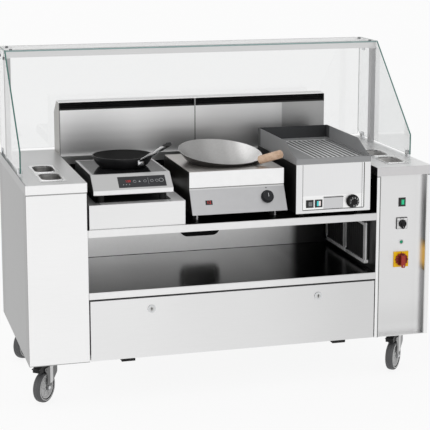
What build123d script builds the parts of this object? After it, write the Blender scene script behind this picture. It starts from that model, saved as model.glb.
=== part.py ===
from build123d import *
import os
from math import asin, cos, degrees, radians, sin, sqrt

os.makedirs("parts", exist_ok=True)

# Mobile front-cooking station: two columns, a lowered deck for three table-top appliances,
# a suction hood at the rear and a glass screen. Millimetres, +Z up, the cook stands at -Y,
# and the origin is on the floor under the middle of the whole object.

# Overall
WIDTH = 1680.0
DEPTH = 810.0
UNDERSIDE = 175.0
WORKTOP = 895.0
SLAB = 36.0
COLUMN = 240.0
SHEET = 2.0
BEND = 4.0
KNOB_REACH = 16.0
FRONT = (KNOB_REACH - DEPTH) / 2
BACK = FRONT + DEPTH
MIDDLE = FRONT + DEPTH / 2
INNER = WIDTH / 2 - COLUMN
COLUMN_X = INNER + COLUMN / 2
CASING_TOP = WORKTOP - SLAB
RUN = 0.05
PLAY = 0.3

# Worktop, deck and shelf
LEDGE_SETBACK = 620.0
LEDGE_CORNER = 5.0
DECK = 707.0
DECK_LIP = 30.0
SHELF = 456.0
SHELF_LIP = 28.0
SHELF_DEPTH = 571.0
TRAY_START = 25.0
TRAY_LIP = 22.0

# Wells in the column tops
INSERT_W = 100.0
INSERT_L = 362.0
INSERT_SHEET = 1.5
INSERT_MARGIN = 4.0
WELL_Y = FRONT + 243.0
WELL_PITCH = 176.0
WELL_W = 84.0
WELL_L = 138.0
WELL_CORNER = 30.0
WELL_RIM = 4.0
WELL_DEPTH = 110.0

# Cable port in the rear wall of the compartment
PORT_W = 160.0
PORT_H = 110.0
PORT_CORNER = 25.0
PORT_Z = 588.0
PORT_RIM = 11.0
PORT_EDGE = 5.0
PORT_FLANGE = 12.0
PORT_SLEEVE = 32.0

# Service panel, its locks and the pads it tilts on
PANEL_GAP = 4.0
PANEL_LOW = UNDERSIDE + 2.3
PANEL_HIGH = SHELF - SHELF_LIP - 4.5
PANEL_FOLD = 20.0
LOCK_X = 350.0
LOCK_Z = 374.5
LOCK_HEAD = 13.0
LOCK_HEAD_T = 2.0
LOCK_R = 9.0
LOCK_LENGTH = 12.0
CAM_T = 3.0
CAM_REACH = 44.0
CAM_W = 15.0
KEY_SLOT = 14.0
KEY_W = 2.5
PAD_X = 445.0
PAD_W = 54.0
PAD_REACH = 48.0
PAD_T = 11.0

# Control panel of the right column
FLANGE = 15.0
RECESS = 35.0
PANEL_FACE = FRONT + RECESS
CONTROL_X = COLUMN_X + 6.0
FAN_SWITCH_Z = 739.0
SELECTOR_Z = 650.0
LAMP_Z = 570.0
MAIN_SWITCH_Z = 496.0
SWITCH_W = 31.0
SWITCH_H = 37.0
SWITCH_LIP = 2.0
SWITCH_WALL = 3.5
SWITCH_BODY = 18.0
ROCKER_PIN = 2.0
PIVOT_DEPTH = 3.0
ROCKER_FRONT = 6.5
ROCKER_BACK = 5.0
ROCKER_MARGIN = 1.3
SPINDLE_R = 4.0
SPINDLE_L = 14.0
KNOB_TAPER = 6.0
KNOB_STEP = 4.0
SELECTOR_PLATE = 48.0
SELECTOR_T = 4.0
SELECTOR_R = 13.0
SELECTOR_POINT = 14.0
SELECTOR_H = 17.0
MAIN_PLATE = 65.0
MAIN_T = 5.0
MAIN_R = 25.0
MAIN_DISC = 10.0
MAIN_GRIP = 17.0
MAIN_H = 27.0
LAMP_R = 7.5
LAMP_HOLE = 6.0

# Hood and fan
HOOD_FRONT = FRONT + 645.0
HOOD_APEX = FRONT + 714.0
HOOD_BACK = FRONT + 785.0
HOOD_TOP = 1125.0
HOOD_SHOULDER = 1064.0
SLOT_LOW = 1095.0
SLOT_HIGH = 1122.0
SLOT_END = 5.0
DUCT_W = 540.0
DUCT_L = 100.0
DUCT_Y = (HOOD_FRONT + HOOD_BACK) / 2
FILTER_T = 8.0
FILTER_FRONT_Z = 1078.0
FILTER_REAR_Z = 1030.0
FAN_Y = FRONT + 430.0
FAN_Z = 305.0
FAN_W = 150.0
SCROLL_R = 112.0
OUTLET_LOW = 193.0
OUTLET_H = 90.0
OUTLET_REACH = 170.0
FOOT_L = 100.0
INLET_R = 72.0
STRUT_W = 22.0
SHAFT_R = 6.0
BEARING_R = 14.0
BEARING_L = 10.0
IMPELLER_R = 94.0
IMPELLER_IN = 76.0
IMPELLER_W = 116.0
RING_T = 3.0
BLADES = 16
BLADE_T = 2.5
BLADE_PITCH = 30.0
HUB_R = 20.0

# Glass screen
GLASS = 6.0
GLASS_X = WIDTH / 2 - 13.0
GLASS_LOW = WORKTOP + 11.0
GLASS_TOP = 1350.0
GLASS_BACK = FRONT + 806.0
GLASS_FRONT = FRONT + 597.0
KNEE_Y = FRONT + 203.0
KNEE_Z = 992.0
KNEE_R = 45.0
POST_W = 20.0
POST_D = 30.0
POST_FRONT = FRONT + 602.0
BEAM_H = 25.0
CLAMP_L = 26.0
CLAMP_T = 4.0
CLAMP_H = 26.0
CLAMP_FRONT = FRONT + 226.0
CLAMP_REAR = FRONT + 750.0
CLAMP_X = 560.0

# Filter cassettes on the right wall of the compartment
CASSETTE_T = 18.0
CASSETTE_W = 230.0
CASSETTE_LOW = 476.0
CASSETTE_H = 172.0
CASSETTE_START = FRONT + 84.0
CASSETTE_PITCH = 237.0
CASSETTE_FRAME = 12.0
CASSETTE_CORNER = 34.0
CASSETTE_SINK = 4.0
CASSETTE_PLEATS = 9

# Castors
WHEEL_R = 62.5
TYRE_W = 32.0
TYRE_CHAMFER = 5.0
RIM_R = 46.0
BOSS_R = 15.0
RIM_SINK = 8.0
AXLE_R = 6.0
TRAIL = 38.0
YAW = radians(41.0)
CASTOR_X = WIDTH / 2 - 92.0
CASTOR_INSET = 114.0
CHEEK_T = 3.0
CHEEK_GAP = 17.5
CHEEK_END = 13.0
CROWN_Z = 141.0
CROWN_T = 4.0
CROWN_L = 62.0
HEAD_R = 27.0
PLATE_T = 4.0
PLATE_L = 105.0
PLATE_W = 85.0
SPIGOT_R = 10.0
SPIGOT_L = 13.0
PEDAL_PIN = 3.0
PEDAL_BACK = 50.0
PEDAL_Z = 141.0
PEDAL_TOE = 98.0
ARCH_R = 45.0
ARCH_BACK = 85.0
ARCH_Z = 98.0
DOME_R = 25.0
DOME_Z = 138.0
DOME_BACK = 66.0
LIP_Z = 148.5
LIP_T = 5.0
TREADS = 5
TREAD_R = 1.5
TREAD_START = 80.0
TREAD_SWEEP = 80.0

# Riser and induction hob
RISER_X = -401.0
RISER_W = 388.0
RISER_FRONT = FRONT + 8.0
RISER_L = 450.0
RISER_TOP = 803.0
HOB_X = -410.0
HOB_W = 320.0
HOB_LOW = 834.0
HOB_LIP = 852.0
HOB_TOP = 906.0
HOB_FRONT = FRONT + 35.0
HOB_KNEE = FRONT + 100.0
HOB_BACK = FRONT + 440.0
HOB_BORDER = 9.0
HOB_GLASS_T = 4.0
FOOT_R = 14.0
FOOT_INSET = 70.0

# Frying pan
PAN_Y = FRONT + 270.0
PAN_X = -405.0
PAN_BASE_R = 92.0
PAN_RIM_R = 122.0
PAN_H = 47.0
PAN_T = 3.5
PAN_HANDLE_Z = 37.0
PAN_HANDLE_L = 202.0
PAN_AZIMUTH = radians(-64.0)
PAN_RISE = radians(27.0)
HANDLE_ROOT_W = 22.0
HANDLE_ROOT_H = 9.0
HANDLE_TIP_W = 27.0
HANDLE_TIP_H = 14.0

# Induction wok cooker and wok
COOKER_X = 17.0
COOKER_W = 395.0
COOKER_LOW = 741.0
COOKER_SEAM = 842.0
COOKER_TOP = 906.0
COOKER_TOE = FRONT + 2.0
COOKER_PANEL_TOP = FRONT + 57.0
COOKER_FRONT = FRONT + 53.0
COOKER_BACK = FRONT + 480.0
COOKER_KNOB_X = 138.0
COOKER_KNOB_Z = 795.0
COOKER_KNOB_R = 26.0
COOKER_KNOB_H = 22.0
DISH_T = 4.0
WOK_SPHERE = 212.4
WOK_RIM = 175.0
WOK_T = 2.0
WOK_Y = FRONT + 262.0
WOK_Z = 1064.0
WOK_TILT = radians(8.8)
WOK_LEAN = radians(-71.6)
WOK_AZIMUTH = radians(-50.0)
WOK_RISE = radians(27.0)
SOCKET_R = 8.0
SOCKET_DROP = 3.0
SOCKET_L = 62.0
SOCKET_SINK = 24.0
GRIP_R = 17.0
GRIP_START = 24.0
GRIP_L = 112.0

# Griddle
GRIDDLE_X = 412.0
GRIDDLE_W = 320.0
GRIDDLE_LOW = 721.0
GRIDDLE_TOP = 922.0
GRIDDLE_FRONT = FRONT + 6.0
GRIDDLE_BACK = FRONT + 525.0
GRIDDLE_STRIP_L = 40.0
GRIDDLE_STRIP_R = 36.0
GRIDDLE_SINK = 2.0
GRIDDLE_SKIRT = 10.0
PLATE_RIM = 945.0
PLATE_DROP = 6.0
PLATE_BORDER = 10.0
GROOVES = 10
GROOVE_PITCH = 21.0
GROOVE_W = 11.0
GROOVE_D = 3.0
GUARD_T = 3.0
GUARD_TOP = 998.0
GUARD_LOW = 956.0
GUARD_START = 45.0
GUARD_SLOPE = 100.0
DRAWER_X = 412.5
DRAWER_Z = 760.5
DRAWER_W = 84.0
DRAWER_H = 49.0
DRAWER_L = 290.0
DRAWER_WALL = 2.0
RUNNER_W = 12.0
DRAIN_W = 40.0
DRAIN_L = 14.0
DRAIN_Y = GRIDDLE_FRONT + 34.0
GRIDDLE_SWITCH_Z = 759.5
GRIDDLE_SWITCH_X = 311.0
GRIDDLE_LAMP_X = 349.0
GRIDDLE_SWITCH_W = 32.0
GRIDDLE_SWITCH_H = 32.0
GRIDDLE_KNOB_X = 495.5
GRIDDLE_KNOB_Z = 762.0
GRIDDLE_KNOB_R = 27.0


def level(z):
    """Horizontal plane at height z."""
    return Plane.XY.offset(z)


def facing(y):
    """Upright plane at depth y, seen from the cook's side: local X and Z, normal to the front."""
    return Plane.XZ.offset(-y)


def side_on(x):
    """Upright plane at x, seen from the right: local Y and Z, normal to the right."""
    return Plane.YZ.offset(x)


# Column casings: folded sheet boxes, open under the worktop
def column_casing(x):
    """Folded box of one column, centred on x."""
    with BuildPart() as shell:
        with BuildSketch(level(UNDERSIDE)):
            with Locations((x, MIDDLE)):
                Rectangle(COLUMN, DEPTH)
        extrude(amount=CASING_TOP - UNDERSIDE)
        fillet(shell.edges().filter_by(Axis.Z), BEND)
        offset(amount=-SHEET, openings=shell.faces().sort_by(Axis.Z)[-1])
    return shell.part


with BuildPart() as left_casing:
    add(column_casing(-COLUMN_X))
left_casing.part.label = "left_casing"
export_step(left_casing.part, "parts/left_casing.step")

with BuildPart() as right_casing:
    add(column_casing(COLUMN_X))
    with BuildSketch(facing(FRONT)):
        with Locations((COLUMN_X, (UNDERSIDE + CASING_TOP) / 2)):
            Rectangle(COLUMN - 2 * FLANGE, CASING_TOP - UNDERSIDE)
    extrude(amount=-SHEET, mode=Mode.SUBTRACT)
    # The front flanges are folded back as far as the control panel
    with BuildSketch(level(UNDERSIDE)):
        for x in (COLUMN_X - COLUMN / 2 + FLANGE, COLUMN_X + COLUMN / 2 - FLANGE):
            with Locations((x, FRONT + RECESS / 2)):
                Rectangle(SHEET, RECESS)
    extrude(amount=CASING_TOP - UNDERSIDE)
    # Rail on the inner side that the filter cassettes stand on
    with BuildSketch(facing(CASSETTE_START)):
        with Locations((INNER - CASSETTE_T / 2, CASSETTE_LOW - PLAY - SHEET / 2)):
            Rectangle(CASSETTE_T, SHEET)
    extrude(amount=-CASSETTE_W - CASSETTE_PITCH)
right_casing.part.label = "right_casing"
export_step(right_casing.part, "parts/right_casing.step")

# Control panel with the cut-outs for what it carries
with BuildPart() as control_panel:
    with BuildSketch(facing(PANEL_FACE)):
        with Locations((COLUMN_X, (UNDERSIDE + SHEET + CASING_TOP) / 2)):
            Rectangle(COLUMN - 2 * SHEET, CASING_TOP - UNDERSIDE - SHEET)
        with Locations((CONTROL_X, FAN_SWITCH_Z)):
            Rectangle(SWITCH_W - 2 * SWITCH_LIP, SWITCH_H - 2 * SWITCH_LIP, mode=Mode.SUBTRACT)
        with Locations((CONTROL_X, SELECTOR_Z), (CONTROL_X, MAIN_SWITCH_Z)):
            Circle(BEARING_R, mode=Mode.SUBTRACT)
        with Locations((CONTROL_X, LAMP_Z)):
            Circle(LAMP_HOLE, mode=Mode.SUBTRACT)
    extrude(amount=-SHEET)
control_panel.part.label = "control_panel"
export_step(control_panel.part, "parts/control_panel.step")


# Worktop: one U-shaped slab of folded sheet, open below, with cut-outs for the wells and the hood
def worktop_outline(inset):
    """U-shaped outline of the slab, drawn inwards by inset, in the sketch being built."""
    with Locations((0, MIDDLE)):
        Rectangle(WIDTH - 2 * inset, DEPTH - 2 * inset)
    with Locations((0, FRONT + LEDGE_SETBACK / 2)):
        Rectangle(2 * (INNER + inset), LEDGE_SETBACK + 2 * inset, mode=Mode.SUBTRACT)


with BuildPart() as worktop:
    with BuildSketch(level(CASING_TOP)):
        worktop_outline(0)
    extrude(amount=SLAB)
    fillet(worktop.edges().filter_by(Axis.Z), LEDGE_CORNER)
    chamfer(worktop.faces().sort_by(Axis.Z)[-1].edges(), SHEET / 2)
    with BuildSketch(level(CASING_TOP)):
        worktop_outline(SHEET)
    extrude(amount=SLAB - SHEET, mode=Mode.SUBTRACT)
    with BuildSketch(level(WORKTOP)):
        with Locations((-COLUMN_X, WELL_Y), (COLUMN_X, WELL_Y)):
            Rectangle(INSERT_W - 2 * INSERT_MARGIN, INSERT_L - 2 * INSERT_MARGIN)
        with Locations((-INNER / 2, DUCT_Y), (INNER / 2, DUCT_Y)):
            Rectangle(DUCT_W, DUCT_L)
    extrude(amount=-SLAB, mode=Mode.SUBTRACT)
worktop.part.label = "worktop"
export_step(worktop.part, "parts/worktop.step")

# Deck for the appliances: one bent sheet, lip at the front and upstand under the rear ledge
with BuildPart() as table_deck:
    with BuildSketch(side_on(-INNER)):
        with BuildLine() as deck_bends:
            FilletPolyline(
                (FRONT + SHEET / 2, DECK - DECK_LIP),
                (FRONT + SHEET / 2, DECK - SHEET / 2),
                (FRONT + LEDGE_SETBACK + SHEET / 2, DECK - SHEET / 2),
                (FRONT + LEDGE_SETBACK + SHEET / 2, CASING_TOP),
                radius=BEND - SHEET / 2,
            )
        trace(line_width=SHEET)
    extrude(amount=2 * INNER)
table_deck.part.label = "table_deck"
export_step(table_deck.part, "parts/table_deck.step")

# Shelf of the open compartment, bent up into its rear wall, with the cable port cut in it
with BuildPart() as shelf:
    with BuildSketch(side_on(-INNER)):
        with BuildLine() as shelf_bends:
            FilletPolyline(
                (FRONT + SHEET / 2, SHELF - SHELF_LIP),
                (FRONT + SHEET / 2, SHELF - SHEET / 2),
                (FRONT + SHELF_DEPTH, SHELF - SHEET / 2),
                (FRONT + SHELF_DEPTH, DECK - SHEET),
                radius=BEND - SHEET / 2,
            )
        trace(line_width=SHEET)
    extrude(amount=2 * INNER)
    with BuildSketch(facing(FRONT + SHELF_DEPTH - SHEET)):
        with Locations((0, PORT_Z)):
            RectangleRounded(PORT_W, PORT_H, PORT_CORNER)
    extrude(amount=-2 * SHEET, mode=Mode.SUBTRACT)
shelf.part.label = "shelf"
export_step(shelf.part, "parts/shelf.step")

# Edge trim of the cable port: a flange on the wall and a sleeve through it
WALL_FACE = FRONT + SHELF_DEPTH - SHEET / 2
with BuildPart() as cable_port_frame:
    with BuildSketch(facing(WALL_FACE)):
        with Locations((0, PORT_Z)):
            RectangleRounded(PORT_W + 2 * PORT_RIM, PORT_H + 2 * PORT_RIM, PORT_CORNER + PORT_RIM)
    extrude(amount=PORT_FLANGE)
    chamfer(cable_port_frame.faces().sort_by(Axis.Y)[0].edges(), PORT_EDGE)
    with BuildSketch(facing(WALL_FACE)):
        with Locations((0, PORT_Z)):
            RectangleRounded(PORT_W, PORT_H, PORT_CORNER)
    extrude(amount=PORT_FLANGE - PORT_SLEEVE)
    with BuildSketch(facing(WALL_FACE - PORT_FLANGE)):
        with Locations((0, PORT_Z)):
            RectangleRounded(PORT_W - 2 * PORT_EDGE, PORT_H - 2 * PORT_EDGE, PORT_CORNER - PORT_EDGE)
    extrude(amount=-PORT_SLEEVE, mode=Mode.SUBTRACT)
cable_port_frame.part.label = "cable_port_frame"
export_step(cable_port_frame.part, "parts/cable_port_frame.step")

# Base tray, bent up into the rear wall on the guests' side
with BuildPart() as base_tray:
    with BuildSketch(side_on(-INNER)):
        with BuildLine() as tray_bends:
            FilletPolyline(
                (FRONT + TRAY_START, UNDERSIDE + TRAY_LIP),
                (FRONT + TRAY_START, UNDERSIDE + SHEET / 2),
                (BACK - SHEET / 2, UNDERSIDE + SHEET / 2),
                (BACK - SHEET / 2, CASING_TOP),
                radius=BEND - SHEET / 2,
            )
        trace(line_width=SHEET)
    extrude(amount=2 * INNER)
base_tray.part.label = "base_tray"
export_step(base_tray.part, "parts/base_tray.step")

# Service panel: a shallow folded lid that tilts out over its lower edge
with BuildPart() as service_panel:
    with BuildSketch(facing(FRONT)):
        with Locations((0, (PANEL_LOW + PANEL_HIGH) / 2)):
            Rectangle(2 * (INNER - PANEL_GAP), PANEL_HIGH - PANEL_LOW)
    extrude(amount=-PANEL_FOLD)
    offset(amount=-SHEET, openings=service_panel.faces().sort_by(Axis.Y)[-1])
    with BuildSketch(facing(FRONT)):
        with Locations((-LOCK_X, LOCK_Z), (LOCK_X, LOCK_Z)):
            Circle(LOCK_R)
    extrude(amount=-SHEET, mode=Mode.SUBTRACT)
service_panel.part.label = "service_panel"
export_step(service_panel.part, "parts/service_panel.step")

# Quarter-turn locks: slotted head, barrel through the panel, cam behind it
for name, x in (("panel_lock_left", -LOCK_X), ("panel_lock_right", LOCK_X)):
    with BuildPart() as panel_lock:
        with BuildSketch(facing(FRONT - PLAY)):
            with Locations((x, LOCK_Z)):
                Circle(LOCK_HEAD)
        extrude(amount=LOCK_HEAD_T)
        chamfer(panel_lock.faces().sort_by(Axis.Y)[0].edges(), LOCK_HEAD_T / 3)
        with BuildSketch(facing(FRONT - PLAY)):
            with Locations((x, LOCK_Z)):
                Circle(LOCK_R - RUN)
        extrude(amount=-LOCK_LENGTH)
        with BuildSketch(facing(FRONT - PLAY + LOCK_LENGTH)):
            with Locations((x, LOCK_Z + (CAM_REACH - CAM_W) / 2)):
                SlotOverall(CAM_REACH, CAM_W, rotation=90)
        extrude(amount=-CAM_T)
        with BuildSketch(facing(FRONT - PLAY - LOCK_HEAD_T)):
            with Locations((x, LOCK_Z)):
                Rectangle(KEY_W, KEY_SLOT)
        extrude(amount=-LOCK_HEAD_T / 2, mode=Mode.SUBTRACT)
    panel_lock.part.label = name
    export_step(panel_lock.part, f"parts/{name}.step")

# Pads under the panel's lower edge, screwed to the base tray
with BuildPart() as panel_pads:
    for x in (-PAD_X, PAD_X):
        with BuildSketch(side_on(x - PAD_W / 2)):
            with BuildLine():
                Polyline(
                    (FRONT + SHEET, UNDERSIDE - PAD_T + BEND),
                    (FRONT + SHEET + BEND, UNDERSIDE - PAD_T),
                    (FRONT + PAD_REACH, UNDERSIDE - PAD_T),
                    (FRONT + PAD_REACH, UNDERSIDE),
                    (FRONT + TRAY_START - 2 * SHEET, UNDERSIDE),
                    (FRONT + TRAY_START - 2 * SHEET, PANEL_LOW - PLAY),
                    (FRONT + SHEET, PANEL_LOW - PLAY),
                    close=True,
                )
            make_face()
        extrude(amount=PAD_W)
panel_pads.part.label = "panel_pads"
export_step(panel_pads.part, "parts/panel_pads.step")

# Hood: two folded sections side by side, open below, with a suction slot under the front edge
for name, start in (("hood_left", -INNER), ("hood_right", 0.0)):
    with BuildPart() as hood:
        with BuildSketch(side_on(start)):
            with BuildLine():
                Polyline(
                    (HOOD_FRONT, WORKTOP),
                    (HOOD_FRONT, HOOD_TOP),
                    (HOOD_APEX, HOOD_TOP),
                    (HOOD_BACK, HOOD_SHOULDER),
                    (HOOD_BACK, WORKTOP),
                    close=True,
                )
            make_face()
        extrude(amount=INNER)
        offset(amount=-SHEET, openings=hood.faces().sort_by(Axis.Z)[0])
        with BuildSketch(facing(HOOD_FRONT)):
            with Locations((start + INNER / 2, (SLOT_LOW + SLOT_HIGH) / 2)):
                Rectangle(INNER - 2 * SLOT_END, SLOT_HIGH - SLOT_LOW)
        extrude(amount=-SHEET, mode=Mode.SUBTRACT)
    hood.part.label = name
    export_step(hood.part, f"parts/{name}.step")

# Grease filters: one sloping cassette across the inside of each hood section
with BuildPart() as grease_filters:
    for start in (-INNER, 0.0):
        with BuildSketch(side_on(start + SHEET)):
            with BuildLine():
                Polyline(
                    (HOOD_FRONT + SHEET, FILTER_FRONT_Z),
                    (HOOD_BACK - SHEET, FILTER_REAR_Z),
                    (HOOD_BACK - SHEET, FILTER_REAR_Z + FILTER_T),
                    (HOOD_FRONT + SHEET, FILTER_FRONT_Z + FILTER_T),
                    close=True,
                )
            make_face()
        extrude(amount=INNER - 2 * SHEET)
grease_filters.part.label = "grease_filters"
export_step(grease_filters.part, "parts/grease_filters.step")

# Fan housing: scroll with an outlet to the front, an inlet and a bearing strut on each side
with BuildPart() as fan_housing:
    with BuildSketch(side_on(-FAN_W / 2)):
        with Locations((FAN_Y, FAN_Z)):
            Circle(SCROLL_R)
        with Locations((FAN_Y - OUTLET_REACH / 2, OUTLET_LOW + OUTLET_H / 2)):
            Rectangle(OUTLET_REACH, OUTLET_H)
        with Locations((FAN_Y, (UNDERSIDE + SHEET + FAN_Z) / 2)):
            Rectangle(FOOT_L, FAN_Z - UNDERSIDE - SHEET)
    extrude(amount=FAN_W)
    offset(amount=-SHEET, openings=fan_housing.faces().sort_by(Axis.Y)[0])
    with BuildSketch(side_on(-FAN_W / 2)):
        with Locations((FAN_Y, FAN_Z)):
            Circle(INLET_R)
            Rectangle(STRUT_W, 2 * INLET_R, mode=Mode.SUBTRACT)
    extrude(amount=FAN_W, mode=Mode.SUBTRACT)
    for x in (-FAN_W / 2, FAN_W / 2 - BEARING_L):
        with BuildSketch(side_on(x)):
            with Locations((FAN_Y, FAN_Z)):
                Circle(BEARING_R)
        extrude(amount=BEARING_L)
    with BuildSketch(side_on(-FAN_W / 2)):
        with Locations((FAN_Y, FAN_Z)):
            Circle(SHAFT_R + RUN)
    extrude(amount=FAN_W, mode=Mode.SUBTRACT)
fan_housing.part.label = "fan_housing"
export_step(fan_housing.part, "parts/fan_housing.step")

# Impeller: forward-curved blades between two end rings, carried by a middle disc on the shaft
with BuildPart() as fan_impeller:
    with BuildSketch(side_on(-IMPELLER_W / 2)):
        with Locations((FAN_Y, FAN_Z)):
            with PolarLocations((IMPELLER_R + IMPELLER_IN) / 2, BLADES):
                Rectangle(IMPELLER_R - IMPELLER_IN, BLADE_T, rotation=BLADE_PITCH)
    extrude(amount=IMPELLER_W)
    for x in (-IMPELLER_W / 2, IMPELLER_W / 2 - RING_T):
        with BuildSketch(side_on(x)):
            with Locations((FAN_Y, FAN_Z)):
                Circle(IMPELLER_R)
                Circle(IMPELLER_IN, mode=Mode.SUBTRACT)
        extrude(amount=RING_T)
    with BuildSketch(side_on(-RING_T / 2)):
        with Locations((FAN_Y, FAN_Z)):
            Circle(IMPELLER_R)
    extrude(amount=RING_T)
    with BuildSketch(side_on(-HUB_R)):
        with Locations((FAN_Y, FAN_Z)):
            Circle(HUB_R)
    extrude(amount=2 * HUB_R)
    with BuildSketch(side_on(-FAN_W / 2)):
        with Locations((FAN_Y, FAN_Z)):
            Circle(SHAFT_R)
    extrude(amount=FAN_W)
fan_impeller.part.label = "fan_impeller"
export_step(fan_impeller.part, "parts/fan_impeller.step")

# Frame of the glass screen: two posts and the beam between them
with BuildPart() as glass_frame:
    with BuildSketch(facing(POST_FRONT)):
        with BuildLine():
            Polyline(
                (-GLASS_X, WORKTOP),
                (-GLASS_X, GLASS_TOP),
                (GLASS_X, GLASS_TOP),
                (GLASS_X, WORKTOP),
                (GLASS_X - POST_W, WORKTOP),
                (GLASS_X - POST_W, GLASS_TOP - BEAM_H),
                (POST_W - GLASS_X, GLASS_TOP - BEAM_H),
                (POST_W - GLASS_X, WORKTOP),
                close=True,
            )
        make_face()
    extrude(amount=-POST_D)
glass_frame.part.label = "glass_frame"
export_step(glass_frame.part, "parts/glass_frame.step")

# Glass panes
with BuildPart() as rear_glass:
    with BuildSketch(facing(GLASS_BACK - GLASS)):
        with Locations((0, (GLASS_LOW + GLASS_TOP) / 2)):
            Rectangle(2 * GLASS_X, GLASS_TOP - GLASS_LOW)
    extrude(amount=-GLASS)
rear_glass.part.label = "rear_glass"
export_step(rear_glass.part, "parts/rear_glass.step")

with BuildPart() as top_glass:
    with BuildSketch(level(GLASS_TOP)):
        with Locations((0, (GLASS_FRONT + GLASS_BACK) / 2)):
            Rectangle(2 * GLASS_X, GLASS_BACK - GLASS_FRONT)
    extrude(amount=GLASS)
top_glass.part.label = "top_glass"
export_step(top_glass.part, "parts/top_glass.step")

for name, x in (("side_glass_left", -GLASS_X - GLASS), ("side_glass_right", GLASS_X)):
    with BuildPart() as side_glass:
        with BuildSketch(side_on(x)) as pane:
            with BuildLine():
                Polyline(
                    (GLASS_BACK, GLASS_LOW),
                    (GLASS_BACK, GLASS_TOP + GLASS),
                    (GLASS_FRONT, GLASS_TOP + GLASS),
                    (KNEE_Y, KNEE_Z),
                    (KNEE_Y, GLASS_LOW),
                    close=True,
                )
            make_face()
            fillet(pane.vertices().sort_by(Axis.Y)[:2].sort_by(Axis.Z)[-1], KNEE_R)
        extrude(amount=GLASS)
    side_glass.part.label = name
    export_step(side_glass.part, f"parts/{name}.step")

# Glass clamps: U-blocks on the worktop that hold the lower edges
with BuildPart() as glass_clamps:
    for x in (-GLASS_X - GLASS / 2, GLASS_X + GLASS / 2):
        for y in (CLAMP_FRONT, CLAMP_REAR):
            with BuildSketch(facing(y + CLAMP_L / 2)):
                with Locations((x, WORKTOP + CLAMP_H / 2)):
                    Rectangle(GLASS + 2 * CLAMP_T, CLAMP_H)
                with Locations((x, (GLASS_LOW + WORKTOP + CLAMP_H) / 2)):
                    Rectangle(GLASS, WORKTOP + CLAMP_H - GLASS_LOW, mode=Mode.SUBTRACT)
            extrude(amount=CLAMP_L)
    for x in (-CLAMP_X, CLAMP_X):
        with BuildSketch(side_on(x - CLAMP_L / 2)):
            with Locations((GLASS_BACK - GLASS / 2, WORKTOP + CLAMP_H / 2)):
                Rectangle(GLASS + 2 * CLAMP_T, CLAMP_H)
            with Locations((GLASS_BACK - GLASS / 2, (GLASS_LOW + WORKTOP + CLAMP_H) / 2)):
                Rectangle(GLASS, WORKTOP + CLAMP_H - GLASS_LOW, mode=Mode.SUBTRACT)
        extrude(amount=CLAMP_L)
glass_clamps.part.label = "glass_clamps"
export_step(glass_clamps.part, "parts/glass_clamps.step")

# Well inserts: a pressed plate with two deep cups of rounded outline in each column top
for name, x in (("well_insert_left", -COLUMN_X), ("well_insert_right", COLUMN_X)):
    with BuildPart() as well_insert:
        with BuildSketch(level(WORKTOP)):
            with Locations((x, WELL_Y)):
                RectangleRounded(INSERT_W, INSERT_L, BEND)
        extrude(amount=INSERT_SHEET)
        with BuildSketch(level(WORKTOP)):
            with Locations((x, WELL_Y - WELL_PITCH / 2), (x, WELL_Y + WELL_PITCH / 2)):
                RectangleRounded(WELL_W + 2 * WELL_RIM, WELL_L + 2 * WELL_RIM, WELL_CORNER + WELL_RIM)
        extrude(amount=2 * INSERT_SHEET)
        with BuildSketch(level(WORKTOP)):
            with Locations((x, WELL_Y - WELL_PITCH / 2), (x, WELL_Y + WELL_PITCH / 2)):
                RectangleRounded(WELL_W, WELL_L, WELL_CORNER)
        extrude(amount=-WELL_DEPTH)
        with BuildSketch(level(WORKTOP + 2 * INSERT_SHEET)):
            with Locations((x, WELL_Y - WELL_PITCH / 2), (x, WELL_Y + WELL_PITCH / 2)):
                RectangleRounded(
                    WELL_W - 2 * INSERT_SHEET,
                    WELL_L - 2 * INSERT_SHEET,
                    WELL_CORNER - INSERT_SHEET,
                )
        extrude(amount=-WELL_DEPTH - INSERT_SHEET, mode=Mode.SUBTRACT)
    well_insert.part.label = name
    export_step(well_insert.part, f"parts/{name}.step")


def front_at(x, y, z):
    """Plane on an upright front at that point, local X and Z, normal to the cook."""
    return Plane(origin=(x, y, z), x_dir=(1, 0, 0), z_dir=(0, -1, 0))


# Rocker switches: snap-in frames, and rockers that turn on pins in their walls
def switch_hollow(size):
    """Clear size inside a frame whose lip has that outer size."""
    return size - 2 * (SWITCH_LIP + SWITCH_WALL)


def switch_frame(x, face, z, width, height):
    """Frame of one switch on a front at depth face: lip before the panel, walls through it."""
    at = front_at(x, face, z)
    with BuildPart() as frame:
        with BuildSketch(at):
            Rectangle(width, height)
        extrude(amount=SWITCH_LIP)
        with BuildSketch(at):
            Rectangle(width - 2 * SWITCH_LIP, height - 2 * SWITCH_LIP)
        extrude(amount=-SWITCH_BODY)
        with BuildSketch(at.offset(SWITCH_LIP)):
            Rectangle(switch_hollow(width), switch_hollow(height))
        extrude(amount=-SWITCH_BODY - SWITCH_LIP, mode=Mode.SUBTRACT)
        with BuildSketch(side_on(x - width / 2)):
            with Locations((face + PIVOT_DEPTH, z)):
                Circle(ROCKER_PIN)
        extrude(amount=width, mode=Mode.SUBTRACT)
    return frame.part


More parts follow.
